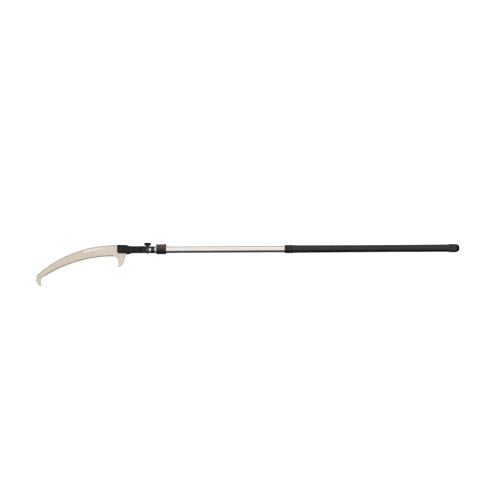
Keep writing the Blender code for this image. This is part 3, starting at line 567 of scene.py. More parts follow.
class Nodes:
    """A node tree, and the few kinds of node that the finishes and the world are made of."""

    def __init__(self, tree):
        self.tree = tree

    def add(self, kind, **settings):
        node = self.tree.nodes.new(kind)
        for key, value in settings.items():
            setattr(node, key, value)
        return node

    def link(self, source, target):
        self.tree.links.new(source, target)

    def math(self, operation, first, second=0.0):
        node = self.add("ShaderNodeMath", operation=operation)
        for socket, value in zip(node.inputs, (first, second)):
            if isinstance(value, (int, float)):
                socket.default_value = value
            else:
                self.link(value, socket)
        return node.outputs[0]

    def total(self, *parts):
        """The sum of some (factor, share) products."""
        sums = self.math("MULTIPLY", *parts[0])
        for part in parts[1:]:
            sums = self.math("ADD", sums, self.math("MULTIPLY", *part))
        return sums

    def split(self, vector):
        node = self.add("ShaderNodeSeparateXYZ")
        self.link(vector, node.inputs[0])
        return node.outputs

    def spread(self, factor, start, stop, low, high, **settings):
        """A factor stretched so that start to stop becomes low to high."""
        node = self.add("ShaderNodeMapRange", **settings)
        for socket, value in zip(node.inputs[1:5], (start, stop, low, high)):
            socket.default_value = value
        self.link(factor, node.inputs[0])
        return node.outputs[0]

    def smooth(self, factor, start, stop, low=0.0, high=1.0):
        """The same as a soft step, by default from nought to one."""
        return self.spread(factor, start, stop, low, high, interpolation_type="SMOOTHSTEP")

    def fading(self, factor, start, stop):
        """A soft step from one down to nought."""
        return self.math("SUBTRACT", 1.0, self.smooth(factor, start, stop))

    def ramp(self, factor, stops):
        """A colour ramp of (position, colour) over a factor."""
        node = self.add("ShaderNodeValToRGB")
        elements = node.color_ramp.elements
        while len(elements) < len(stops):
            elements.new(0.5)
        for element, (position, colour) in zip(elements, stops):
            element.position = position
            element.color = (*colour, 1.0)
        self.link(factor, node.inputs[0])
        return node.outputs[0]


class Finish(Nodes):
    """A material on object coordinates, in metres."""

    def __init__(self, name, constants):
        self.material = bpy.data.materials.new(name)
        self.material.use_nodes = True
        super().__init__(self.material.node_tree)
        self.shader = self.tree.nodes["Principled BSDF"]
        self.normal = None
        for socket, value in constants.items():
            self.shader.inputs[socket].default_value = value
        self.coordinates = self.add("ShaderNodeTexCoord")
        self.place = self.coordinates.outputs["Object"]

    def noise(self, scale, detail=3.0, roughness=0.5, place=None):
        """Noise with so many waves to the metre along each axis."""
        mapping = self.add("ShaderNodeMapping")
        mapping.inputs["Scale"].default_value = scale
        self.link(place or self.place, mapping.inputs["Vector"])
        noise = self.add("ShaderNodeTexNoise")
        noise.inputs["Scale"].default_value = 1.0
        noise.inputs["Detail"].default_value = detail
        noise.inputs["Roughness"].default_value = roughness
        self.link(mapping.outputs[0], noise.inputs["Vector"])
        return noise.outputs[0]

    def colour(self, factor, *stops):
        self.link(self.ramp(factor, stops), self.shader.inputs["Base Color"])

    def blend(self, mode, factor, colour):
        """A colour mixed into the base colour as it stands, where a factor says."""
        socket = self.shader.inputs["Base Color"]
        node = self.add("ShaderNodeMix", data_type="RGBA", blend_type=mode)
        self.link(factor, node.inputs[0])
        self.link(socket.links[0].from_socket, node.inputs[6])
        node.inputs[7].default_value = (*colour, 1.0)
        self.link(node.outputs[2], socket)

    def roughness(self, factor, low, high):
        self.link(self.spread(factor, 0.3, 0.7, low, high), self.shader.inputs["Roughness"])

    def bump(self, height, depth, strength=1.0):
        """Relief of a depth in metres, over any that is there already."""
        node = self.add("ShaderNodeBump")
        node.inputs["Strength"].default_value = strength
        node.inputs["Distance"].default_value = depth
        self.link(height, node.inputs["Height"])
        if self.normal:
            self.link(self.normal, node.inputs["Normal"])
        self.normal = node.outputs[0]
        self.link(self.normal, self.shader.inputs["Normal"])


def drawn_aluminium():
    """Clear anodised tube: fine lines along it, a faint cloudiness, and painted shade that darkens the inner
    tube's tip where it sits in its socket.
    """
    finish = Finish("drawn_aluminium", {"Metallic": 1.0})
    lines = finish.noise((6, 1900, 1900), 4.0, 0.6)
    cloud = finish.noise((14, 40, 40), 2.0)
    mixed = finish.total((lines, 0.65), (cloud, 0.35))
    finish.colour(mixed, (0.32, (0.87, 0.825, 0.80)), (0.68, (0.94, 0.90, 0.875)))
    # Painted shade: the tube is darkened in colour where it runs into the head's socket, where shade falls.
    socket_shade = finish.fading(finish.split(finish.place)[0], ORIGIN.x - 0.046, ORIGIN.x - 0.030)
    finish.blend("MULTIPLY", socket_shade, (0.22, 0.21, 0.21))
    finish.roughness(mixed, 0.16, 0.24)
    finish.bump(lines, 0.000004)
    return finish.material


def ground_steel():
    """Nickel-plated blade: ground lines square to the back, tan clouds, a painted highlight streak and a band
    of painted shade under the back, a darker rim, blued facets.
    """
    finish = Finish("ground_steel", {"Metallic": 1.0})
    centre = ORIGIN + Vector((*BACK_CENTRE, 0.0)) * MM
    shift = finish.add("ShaderNodeVectorMath", operation="SUBTRACT")
    shift.inputs[1].default_value = centre
    finish.link(finish.place, shift.inputs[0])
    x, y, z = finish.split(shift.outputs[0])
    radius = finish.add("ShaderNodeVectorMath", operation="LENGTH")
    finish.link(shift.outputs[0], radius.inputs[0])
    radius = radius.outputs["Value"]
    polar = finish.add("ShaderNodeCombineXYZ")
    turned = finish.math("MULTIPLY", finish.math("ARCTAN2", y, x), BACK_RADIUS * MM)
    for part, socket in zip((turned, radius, z), polar.inputs):
        finish.link(part, socket)
    lines = finish.noise((1500, 18, 400), 4.0, 0.65, polar.outputs[0])
    bands = finish.noise((85, 9, 5), 2.0, 0.5, polar.outputs[0])
    cloud = finish.noise((16, 26, 10), 2.0)
    mixed = finish.total((lines, 0.3), (bands, 0.3), (cloud, 0.4))
    tan = ((0.34, (0.64, 0.56, 0.465)), (0.5, (0.75, 0.66, 0.548)), (0.66, (0.82, 0.73, 0.62)))
    finish.colour(mixed, *tan)
    depth = finish.math("SUBTRACT", BACK_RADIUS * MM, radius)
    along = finish.split(finish.place)[0]

    def limited(factor, ends):
        """A factor that fades in and out at two places along the pole."""
        for place, fade in ends:
            end = ORIGIN.x + place * MM
            factor = finish.math("MULTIPLY", factor, finish.smooth(along, end, end + fade * MM))
        return factor

    polished = finish.smooth(along, *(ORIGIN.x + x for x in POLISHED_RISE))
    finish.blend("MIX", finish.math("MULTIPLY", polished, 0.3), (0.90, 0.835, 0.735))
    # Painted highlight: a pale streak along the hollow grind under the back, where the grind would catch the
    # light.
    rise = finish.smooth(depth, *HIGHLIGHT_STREAK_RISE)
    fall = finish.smooth(depth, *HIGHLIGHT_STREAK_FALL)
    highlight_streak = finish.math("SUBTRACT", rise, fall)
    finish.blend("MIX", limited(highlight_streak, HIGHLIGHT_STREAK_ENDS), (1.0, 0.95, 0.87))
    # Painted shade: the band just under the back is darkened, as if the hollow grind turned it from the light.
    band = finish.fading(depth, *SHADE_BAND_FALL)
    finish.blend("MULTIPLY", finish.math("MULTIPLY", band, 0.55), (0.68, 0.68, 0.70))
    # The rim along the back is darkened in colour, with no cause given.
    edge = finish.fading(depth, *DARK_RIM_FALL)
    finish.blend("MULTIPLY", finish.math("MULTIPLY", edge, 0.6), (0.6, 0.58, 0.56))
    upright = finish.math("ABSOLUTE", finish.split(finish.coordinates.outputs["Normal"])[2])
    hardened = finish.fading(upright, *FACET_TILT)
    finish.blend("MULTIPLY", limited(hardened, HARDENED_ENDS), (0.07, 0.068, 0.065))
    finish.roughness(mixed, 0.24, 0.36)
    finish.bump(lines, 0.000006)
    return finish.material


def mottled(name, constants, cloud, stops, roughness, grain, depth, strength=1.0):
    """A finish with one cloud for its colour and roughness, and a grain for its relief in metres."""
    finish = Finish(name, constants)
    tone = finish.noise(*cloud)
    finish.colour(tone, *stops)
    finish.roughness(tone, *roughness)
    finish.bump(finish.noise(*grain), depth, strength)
    return finish.material


def black_oxide(name, tone):
    """Black oxide over turned and pressed steel, rubbed paler in patches."""
    stops = []
    for position, level in ((0.35, 0.035), (0.6, 0.062), (0.8, 0.115)):
        stops.append((position, (level * tone, level * tone * 0.98, level * tone * 0.99)))
    rubbed = ((240, 240, 240), 4.0, 0.6)
    return mottled(name, METAL, rubbed, stops, (0.30, 0.46), ((1800, 1800, 1800), 2.0), 0.000006)


def mottled_plastic_painted_light():
    """The collar's nylon, mottled brown, painted lighter towards the lever and darker away from it as light and
    shade.
    """
    finish = Finish("mottled_plastic_painted_light", {"Specular IOR Level": 0.30})
    cloud = finish.noise((110, 130, 130), 3.0, 0.6)
    # Painted light and shade: the colour gets lighter towards +Y, the lit side by the lever, and darker towards
    # -Y, the shaded side.
    level = finish.smooth(finish.split(finish.place)[1], ORIGIN.y - 0.009, ORIGIN.y + 0.021)
    mixed = finish.total((level, 0.55), (cloud, 0.6))
    pale = (0.034, 0.026, 0.020)
    finish.colour(mixed, (0.25, (0.0016, 0.0013, 0.0012)), (0.55, (0.0095, 0.0075, 0.0062)), (0.9, pale))
    finish.roughness(cloud, 0.26, 0.40)
    finish.bump(finish.noise((1300, 1300, 1300), 3.0, 0.55), 0.00003)
    return finish.material


METAL = {"Metallic": 1.0}
RUBBED_STEEL = black_oxide("rubbed_steel", 2.3)
FINISHES = {
    "pole_aluminium": drawn_aluminium(),
    "blade_steel": ground_steel(),
    "blackened_steel": black_oxide("blackened_steel", 1.0),
    "fastener_steel": mottled(
        "zinc_steel",
        METAL,
        ((260, 260, 260), 4.0, 0.6),
        ((0.3, (0.46, 0.45, 0.43)), (0.7, (0.64, 0.63, 0.61))),
        (0.24, 0.42),
        ((2200, 2200, 2200), 2.0),
        0.000006,
    ),
    "insert_brass": mottled(
        "turned_brass",
        METAL,
        ((300, 900, 300), 3.0),
        ((0.3, (0.62, 0.43, 0.18)), (0.7, (0.80, 0.62, 0.32))),
        (0.22, 0.36),
        ((300, 900, 300), 3.0),
        0.000008,
    ),
    # Black nylon with a spark-eroded grain and paler scuffs.
    "black_plastic": mottled(
        "moulded_plastic",
        {"Specular IOR Level": 0.40},
        ((55, 75, 75), 3.0, 0.6),
        ((0.35, (0.0010, 0.0010, 0.0010)), (0.6, (0.0032, 0.0030, 0.0029)), (0.8, (0.012, 0.011, 0.010))),
        (0.24, 0.34),
        ((1500, 1500, 1500), 3.0, 0.55),
        0.00002,
    ),
    # Brownish black rubber with a fine pebble and a soft bloom.
    "black_rubber": mottled(
        "matt_rubber",
        {"Specular IOR Level": 0.56},
        ((9, 120, 120), 3.0, 0.55),
        ((0.3, (0.0012, 0.0009, 0.0009)), (0.7, (0.0034, 0.0025, 0.0024))),
        (0.27, 0.36),
        ((1100, 1100, 1100), 2.0, 0.5),
        0.00002,
    ),
    # Satin black coating on the cast holder, with orange peel and dusty patches.
    "holder_black": mottled(
        "holder_paint",
        {"Specular IOR Level": 0.24},
        ((70, 95, 95), 3.0, 0.6),
        ((0.35, (0.0010, 0.0010, 0.0012)), (0.6, (0.0034, 0.0034, 0.0038)), (0.8, (0.014, 0.014, 0.016))),
        (0.28, 0.42),
        ((620, 620, 620), 2.0, 0.45),
        0.00003,
    ),
    "lever_red": mottled(
        "red_plastic",
        {"Specular IOR Level": 0.5, "Coat Weight": 0.15, "Coat Roughness": 0.25},
        ((90, 90, 90), 3.0),
        ((0.3, (0.17, 0.0050, 0.0085)), (0.7, (0.25, 0.0085, 0.013))),
        (0.30, 0.42),
        ((1700, 1700, 1700), 2.0),
        0.00003,
        0.5,
    ),
    "guide_acetal": mottled(
        "white_acetal",
        {"Specular IOR Level": 0.5, "Subsurface Weight": 0.1},
        ((120, 120, 120), 3.0),
        ((0.3, (0.58, 0.57, 0.53)), (0.7, (0.68, 0.67, 0.63))),
        (0.36, 0.50),
        ((120, 120, 120), 3.0),
        0.00003,
        0.4,
    ),
}
OWN_FINISHES = {"clamp_collar": mottled_plastic_painted_light(), "clamp_saddle": RUBBED_STEEL, "snap_button": RUBBED_STEEL}


# ---- outer pole


def make_tubes():
    """The two tubes, with broken rims, and the button's hole through both."""
    outer_half = half_of("outer_tube")
    inner_half = half_of("inner_tube")
    button_x = axis_of("snap_button").x
    knob_x = axis_of("clamp_knob").x
    rivet = axis_of("tip_ring_rivet")
    hole = circle((button_x, 0), BUTTON_HOLE_RADIUS)
    outer = sleeve("outer_tube", grown(outer_half, -OUTER_TUBE_WALL), 0.4)
    window = rounded_box(SHOE_WINDOW, (-SHOE_WINDOW_HALF_Z, SHOE_WINDOW_HALF_Z), 1.0)
    cut(
        outer,
        prism("window", window, -TOP_WALL[1], -TOP_WALL[0], AGAINST_Y),
        flared("hole", hole, (OUTER_HOLE_FLOOR, outer_half[0]), ALONG_Y, 0.4),
    )
    for name in COLLAR_SCREWS:
        cut(outer, rod("pilot", (axis_of(name).x, 0), SCREW_HOLE_RADIUS, *BOTTOM_WALL, ALONG_Y, 24))
    place_piece(outer, "outer_tube")
    inner = sleeve("inner_tube", grown(inner_half, -INNER_TUBE_WALL), 0.4)
    cut(
        inner,
        rod("bolt_way", (knob_x, 0), CLAMP_HOLE_RADIUS, -BEYOND, BEYOND, ALONG_Y),
        flared("hole", hole, (INNER_HOLE_FLOOR, inner_half[0]), ALONG_Y, 0.4),
        rod("rivet_way", (rivet.x, rivet.y), SCREW_HOLE_RADIUS, *RIVET_WALL, ALONG_Z, 24),
    )
    place_piece(inner, "inner_tube")


def make_grip():
    """The waisted rubber sleeve, and the grooved plastic ring ahead of it."""
    bore = grown(half_of("outer_tube"), GAP)
    outside = []
    for x, half in GRIP_STATIONS:
        outside.append((x, half - CHORD, half - CHORD - GRIP_FLATNESS))
    inside = round_ends(*ends_of("grip_sleeve"), bore, 0.4, steps=2, inwards=-1)
    place_piece(loft("fine_grip_sleeve", outside + inside[::-1], closed=True), "grip_sleeve")
    start, end = ends_of("grip_front_ring")
    grooves = [(start + 5.0, 1.8, 0.5), (end - 5.0, 1.8, 0.5)]
    place_piece(sleeve("grip_front_ring", bore, 1.4, grooves), "grip_front_ring")


def make_end_cap():
    """The domed rubber cap: three grooves for grip, and a screw sunk in its end."""
    start, end = ends_of("end_cap")
    stations = []
    for x, half, half_z, power in CAP_STATIONS:
        stations.append((x, half - CHORD, half_z - CHORD, power))
    band_y, band_z = stations[3][1:3]
    for groove in range(3):
        x = start + 7.0 + groove * 6.0
        for along, depth in ((-0.9, 0.0), (-0.35, 0.55), (0.35, 0.55), (0.9, 0.0)):
            stations.append((x + along, band_y - depth, band_z - depth, SQUARE_POWER))
    cap = loft("fine_end_cap", sorted(stations))
    tube_end = ends_of("outer_tube")[1]
    bore = grown(half_of("outer_tube"), GAP)
    way = 2.6
    recess = circle((0, 0), 5.4)
    recess_floor = ends_of("cap_screw")[1] - 2.5
    cut(
        cap,
        prism("bore", oval(*bore), start - PAST, tube_end + GAP, ALONG_X),
        rod("screw_way", (0, 0), way, tube_end - PAST, end + PAST, ALONG_X),
        flared("recess", recess, (recess_floor, end), ALONG_X),
    )
    place_piece(cap, "end_cap")


def cross_recess(name, place, size, depth):
    """A cutter for a cross recess, pointing down its axis from the height nought."""
    arm = size * 0.16
    outline = []
    for quarter in range(4):
        turn = Matrix.Rotation(math.pi / 2 * quarter, 2)
        for point in ((size / 2, -arm), (size / 2, arm), (arm, arm)):
            outline.append(tuple(turn @ Vector(point)))
    rings = []
    for height, share in ((-depth, 0.45), (1.0, 1.15)):
        rings.append([(u * share, v * share, height) for u, v in outline])
    return skin(name, rings, place)


def pan_screw(name, place, radius, height, shank, depth):
    """A round-headed screw along an axis, its head's seat at nought, with a cross recess."""
    profile = dome(radius, height, 0.75 * height, 6, 0.8)
    profile += [(radius, 0), (shank, 0), (shank, -depth + shank), (0, -depth)]
    screw = lathe(name, profile, place, 40)
    top = place @ Matrix.Translation((0, 0, height))
    cut(screw, cross_recess("cross", top, radius * 1.15, height * 0.8))
    return screw


def make_pole_screws():
    """The cap's screw and the collar's two."""
    head = 2.2
    place = at(ends_of("cap_screw")[1] - head, 0, 0, ALONG_X)
    screw = pan_screw("fine_cap_screw", place, radius=4.9, height=head, shank=1.9, depth=27.0)
    place_piece(screw, "cap_screw")
    head = 1.8
    for node in COLLAR_SCREWS:
        low, high = extent(node)
        place = at(axis_of(node).x, low.y + head, 0, AGAINST_Y)
        depth = high.y - low.y - head
        screw = pan_screw("fine_" + node, place, radius=3.2, height=head, shank=1.6, depth=depth)
        place_piece(screw, node)


# ---- collar


def collar_ring(x, amount):
    """The collar's outline, moved inwards: tight corners by the lever, a round belly below."""
    low, high = extent("clamp_collar")
    corner = (high.y - COLLAR_CORNER, high.z - COLLAR_CORNER)
    belly = (low.y + COLLAR_BELLY, high.z - COLLAR_BELLY)
    points = arc(corner, COLLAR_CORNER - amount, 0, 90, 6)
    points += arc(belly, COLLAR_BELLY - amount, 90, 180, 24)
    points += [(y, -z) for y, z in reversed(points)]
    return [(x, y, z) for y, z in points]


def make_collar():
    low, high = extent("clamp_collar")
    pin = axis_of("lever_pin")
    front_rim = []
    for step in range(6):
        angle = math.pi / 2 * step / 5
        x = low.x + COLLAR_RIM * (1 - math.cos(angle))
        front_rim.append(collar_ring(x, COLLAR_RIM * (1 - math.sin(angle))))
    rings = front_rim[:]
    start, end = COLLAR_GROOVE
    depth = COLLAR_GROOVE_DEPTH
    for x, amount in ((start, 0.0), (start + 0.2, depth), (end - 0.2, depth), (end, 0.0)):
        rings.append(collar_ring(x, amount))
    for ring in reversed(front_rim):
        rings.append([(low.x + high.x - x, y, z) for x, y, z in ring])
    body = skin("fine_clamp_collar", rings)
    front, rear = LEVER_RECESS
    recess = [(front, BEYOND), (front, KNUCKLE_FLOOR), (KNUCKLE_REAR, KNUCKLE_FLOOR)]
    recess += [(KNUCKLE_REAR, LEVER_FLOOR), (rear, LEVER_FLOOR), (rear, BEYOND)]
    opening = [(front, BEYOND), (front, CHEEK_TOP), (rear, CHEEK_TOP), (rear, BEYOND)]
    cutters = [
        prism("recess", recess, -LEVER_WAY_HALF_Z, LEVER_WAY_HALF_Z),
        flared("opening", opening, (low.z, high.z)),
    ]
    panel = rounded_box(*COLLAR_PANEL, 3.0)
    sunk = inset(panel, [0.5] * len(panel))
    for side in (-1, 1):
        face = side * high.z
        levels = [(face - side * 0.7, sunk), (face, panel), (face + side * PAST, panel)]
        cutters.append(stack("panel", levels))
    cut(body, *cutters)
    lug = arc((pin.x, pin.y), LUG_RADIUS, 0, 180, 24)
    lug += [(pin.x - LUG_RADIUS, LUG_FOOT), (pin.x + LUG_RADIUS, LUG_FOOT)]
    join(body, prism("lug", lug, -LUG_Z[1], -LUG_Z[0], edge=0.3), prism("lug", lug, *LUG_Z, edge=0.3))
    outer_half = half_of("outer_tube")
    inner_half = half_of("inner_tube")
    mouth = grown(inner_half, 2 * GAP)
    front_chamfer = 1.0
    rear_chamfer = 0.8
    flare = grown(mouth, front_chamfer)
    seat = grown(outer_half, 3 * GAP)
    fit = grown(outer_half, GAP)
    rear_flare = grown(fit, rear_chamfer)
    bore = []
    for x, half in (
        (-PAST, flare),
        (0, flare),
        (front_chamfer, mouth),
        (BUSH_SEAT[0], mouth),
        (BUSH_SEAT[0], seat),
        (BUSH_SEAT[1], seat),
        (BUSH_SEAT[1], fit),
        (high.x - rear_chamfer, fit),
        (high.x, rear_flare),
        (high.x + PAST, rear_flare),
    ):
        bore.append((x, *half))
    cut(
        body,
        loft("bore", bore),
        block("shoe_way", SHOE_WINDOW, TOP_WALL, (-SHOE_WINDOW_HALF_Z, SHOE_WINDOW_HALF_Z)),
        rod("pin_hole", (pin.x, pin.y), PIN_HOLE_RADIUS, -12, 12, ALONG_Z),
    )
    for node in COLLAR_SCREWS:
        x = axis_of(node).x
        cut(
            body,
            rod("screw_way", (x, 0), SCREW_HOLE_RADIUS, -BEYOND, BOTTOM_WALL[1], ALONG_Y, 24),
            rod("screw_recess", (x, 0), SCREW_RECESS_RADIUS, -BEYOND, SCREW_RECESS_FLOOR, ALONG_Y),
        )
    place_piece(body, "clamp_collar")
    place_piece(sleeve("mouth_bush", grown(inner_half, RUNNING_GAP), 0.4), "mouth_bush")
    low, high = extent("lever_pin")
    radius = 2.0
    edge = 0.5
    profile = [(0, high.z), (radius - edge, high.z), (radius, high.z - edge)]
    profile += [(radius, low.z + edge), (radius - edge, low.z), (0, low.z)]
    turned("lever_pin", profile, at(pin.x, pin.y, 0, ALONG_Z), 32)


def make_lever():
    low, high = extent("clamp_lever")
    pin = axis_of("lever_pin")
    top = pin.y + KNUCKLE_RADIUS
    knuckle = arc((pin.x, pin.y), KNUCKLE_RADIUS, 90, 270, 28)
    meeting = pin.x + math.sqrt(KNUCKLE_RADIUS**2 - (pin.y - LEVER_UNDERSIDE) ** 2)
    outline = knuckle + [(meeting, LEVER_UNDERSIDE)]
    outline += arc((high.x - 1.5, LEVER_UNDERSIDE + 1.5), 1.5, 270, 360, 6)
    outline += arc((high.x - 3.0, top - 3.0), 3.0, 0, 90, 9)
    pitch = 2.4
    floor = top - 0.7
    for groove in range(5):
        x = high.x - 5.0 - groove * pitch
        outline += [(x, top), (x - 0.5, floor), (x - 1.2, floor), (x - 1.7, top)]
    lever = prism("fine_clamp_lever", outline, low.z, high.z)
    soften(lever, 0.5, 3, 50)
    reach = LUG_RADIUS + 0.4
    sweep = arc((pin.x, pin.y), reach, 0, 90, 16)
    sweep += [(pin.x, BEYOND), (0, BEYOND), (0, 10), (pin.x + reach, 10)]
    pocket = rounded_box(*FINGER_POCKET, 2.0)
    floor, roof = FINGER_POCKET_Y
    cut(
        lever,
        prism("pocket", pocket, -roof, -floor, AGAINST_Y),
        prism("slot", sweep, -LEVER_SLOT_HALF_Z, LEVER_SLOT_HALF_Z),
    )
    cam_y = pin.y - CAM_OFFSET
    cam = arc((pin.x, cam_y), CAM_RADIUS, 90, 360, 40)
    cam += [(pin.x + 7.5, cam_y), (pin.x + 7.5, cam_y + CAM_RADIUS)]
    join(lever, prism("cam", cam, -CAM_HALF_Z, CAM_HALF_Z, edge=0.2))
    cut(lever, rod("pin_hole", (pin.x, pin.y), PIN_HOLE_RADIUS, -BEYOND, BEYOND, ALONG_Z))
    place_piece(lever, "clamp_lever")


# ---- inner pole and head


def make_snap_button():
    low, high = extent("snap_button")
    middle = axis_of("snap_button")
    reach = 5.0
    foot = 6.2
    foot_top = low.y + 1.2
    profile = dome(reach, high.y, 2.8, 8)
    profile += [(reach, foot_top), (foot, foot_top), (foot, low.y), (0, low.y)]
    turned("snap_button", profile, at(middle.x, 0, 0, ALONG_Y))


def make_tip_ring():
    rivet = axis_of("tip_ring_rivet")
    bore = grown(half_of("inner_tube"), RUNNING_GAP)
    ring = sleeve("tip_ring", bore, 0.5, [(ends_of("tip_ring")[0] + 3.4, 1.2, 0.3)])
    cut(ring, rod("rivet_way", (rivet.x, rivet.y), SCREW_HOLE_RADIUS, *RIVET_WALL, ALONG_Z, 24))
    place_piece(ring, "tip_ring")
    low, high = extent("tip_ring_rivet")
    rise = 1.3
    seat = high.z - rise
    shank = 1.6
    profile = dome(3.2, high.z, rise, 6) + [(shank, seat), (shank, low.z), (0, low.z)]
    turned("tip_ring_rivet", profile, at(rivet.x, rivet.y, 0, ALONG_Z), 36)


class Edge:
    """The blade's edge: its corners, and at each how far in the faces start and how thick the rim is."""

    def __init__(self):
        self.points = []
        self.ways = []
        self.top = []
        self.bottom = []
        self.rim = []

    def add(self, points, top=0.3, bottom=0.3, rim=(-0.6, 0.6), way=None):
        for point in points:
            self.points.append(point)
            self.ways.append(way)
            self.top.append(top)
            self.bottom.append(bottom)
            self.rim.append(rim)


def add_back(edge):
    """The back, hollow ground over a band that fades out at both ends."""
    angles = []
    for x in reversed(BACK_ENDS):
        angles.append(math.degrees(math.acos((x - BACK_CENTRE[0]) / BACK_RADIUS)))
    points = arc(BACK_CENTRE, BACK_RADIUS, *angles, 96)
    band = 8.5
    for index, point in enumerate(points):
        share = index / (len(points) - 1)
        fade = min(1.0, share / 0.06, (1 - share) / 0.16)
        fade = fade * fade * (3 - 2 * fade)
        depth = 0.3 + band * fade
        rim = 0.6 - 0.15 * fade
        edge.add([point], depth, depth, (-rim, rim))


def add_teeth(edge):
    """Teeth from the tip to the handle, each leaning back and ground on one face in turn."""
    line = smooth_curve(TOOTH_LINE, 8)
    lengths = [0.0]
    for here, there in zip(line, line[1:]):
        lengths.append(lengths[-1] + math.dist(here, there))

    def place(distance, depth):
        """A point of the line, moved inwards by a depth, and the way inwards there."""
        index = max(1, min(len(line) - 1, sum(length < distance for length in lengths)))
        here, there = Vector(line[index - 1]), Vector(line[index])
        share = (distance - lengths[index - 1]) / (lengths[index] - lengths[index - 1])
        along = (there - here).normalized()
        inwards = Vector((-along.y, along.x))
        return tuple(here.lerp(there, share) + inwards * depth), inwards

    count = round(lengths[-1] / TOOTH_PITCH)
    pitch = lengths[-1] / count
    land = 0.06
    ground = 5.0
    plain = 0.12
    for tooth in range(count):
        turned = tooth % 2
        for share, other in ((-land, not turned), (land, turned)):
            point, way = place((tooth + share) * pitch, TOOTH_DEPTH)
            top, bottom = (0.5, ground) if other else (ground, 0.5)
            edge.add([point], top, bottom, (-0.25, 0.25), way)
        point, way = place((tooth + TOOTH_RAKE) * pitch, 0.0)
        if turned:
            edge.add([point], plain, TOOTH_DEPTH + ground, (0.6, 0.8), way)
        else:
            edge.add([point], TOOTH_DEPTH + ground, plain, (-0.8, -0.6), way)
    point, way = place(lengths[-1], TOOTH_DEPTH)
    edge.add([point], 0.5, 0.5, (-0.4, 0.4), way)


def make_blade():
    edge = Edge()
    edge.add([(SHOULDER_X, ROOT_TOP), (SHOULDER_X, 25.0), (SHOULDER_X - 1.2, 26.8)])
    add_back(edge)
    edge.add(smooth_curve(TIP_HOOK, 6), 1.5, 1.5, (-0.3, 0.3))
    add_teeth(edge)
    sickle = smooth_curve(BASE_SICKLE, 6)
    point_end = BASE_SICKLE[SICKLE_POINT]
    turn = SICKLE_POINT * 6
    edge.add(sickle[:6])
    for index, corner in enumerate(sickle[6:], 6):
        room = 0.25 + 0.22 * math.dist(corner, point_end)
        bevel = min(2.0 if index < turn else 1.1, room)
        rim = 0.15 if index < turn else 0.35
        edge.add([corner], bevel, bevel, (-rim, rim))
    corner = TANG_CORNER
    edge.add([(ROOT_REAR, TANG_BOTTOM)])
    edge.add(arc((TANG_REAR - corner, TANG_BOTTOM + corner), corner, 270, 360, 6))
    edge.add(arc((TANG_REAR - corner, TANG_TOP - corner), corner, 0, 90, 6))
    edge.add([(ROOT_REAR, TANG_TOP), (ROOT_REAR - 3.0, ROOT_TOP)])
    low, high = extent("saw_blade")
    middle = (low.z + high.z) / 2
    half = (high.z - low.z) / 2
    rings = [
        [(u, v, middle - half) for u, v in inset(edge.points, edge.bottom, edge.ways)],
        [(u, v, middle + rim[0]) for (u, v), rim in zip(edge.points, edge.rim)],
        [(u, v, middle + rim[1]) for (u, v), rim in zip(edge.points, edge.rim)],
        [(u, v, middle + half) for u, v in inset(edge.points, edge.top, edge.ways)],
    ]
    blade = skin("fine_saw_blade", rings)
    for centre in BLADE_BOLTS.values():
        cut(blade, rod("bolt_hole", centre, BOLT_HOLE_RADIUS, -5, 5, ALONG_Z, 32))
    place_piece(blade, "saw_blade", 4.0)


def keyhole():
    """The sight slot on the upper side, and the slit behind it that lets the sleeve close."""
    front, rear = SIGHT_SLOT
    radius = SIGHT_SLOT_HALF_Y
    y = SIGHT_SLOT_Y
    slit = math.degrees(math.asin(SLIT_HALF_Y / radius))
    outline = arc((front, y), radius, 90, 270, 18) + arc((rear, y), radius, 270, 360 - slit, 9)
    outline += [(HOLDER_REAR, y - SLIT_HALF_Y), (HOLDER_REAR, y + SLIT_HALF_Y)]
    return outline + arc((rear, y), radius, slit, 90, 9)


def almond(front, rear, half, count=28):
    """A lens between two points of the centre line, blunt at its front."""
    points = []
    for index in range(count):
        angle = 2 * math.pi * (index + 0.5) / count
        x = (front + rear) / 2 - (rear - front) / 2 * math.cos(angle)
        lean = 1.0 + 0.25 * math.cos(angle)
        points.append((x, half * lean * math.sin(angle)))
    return points


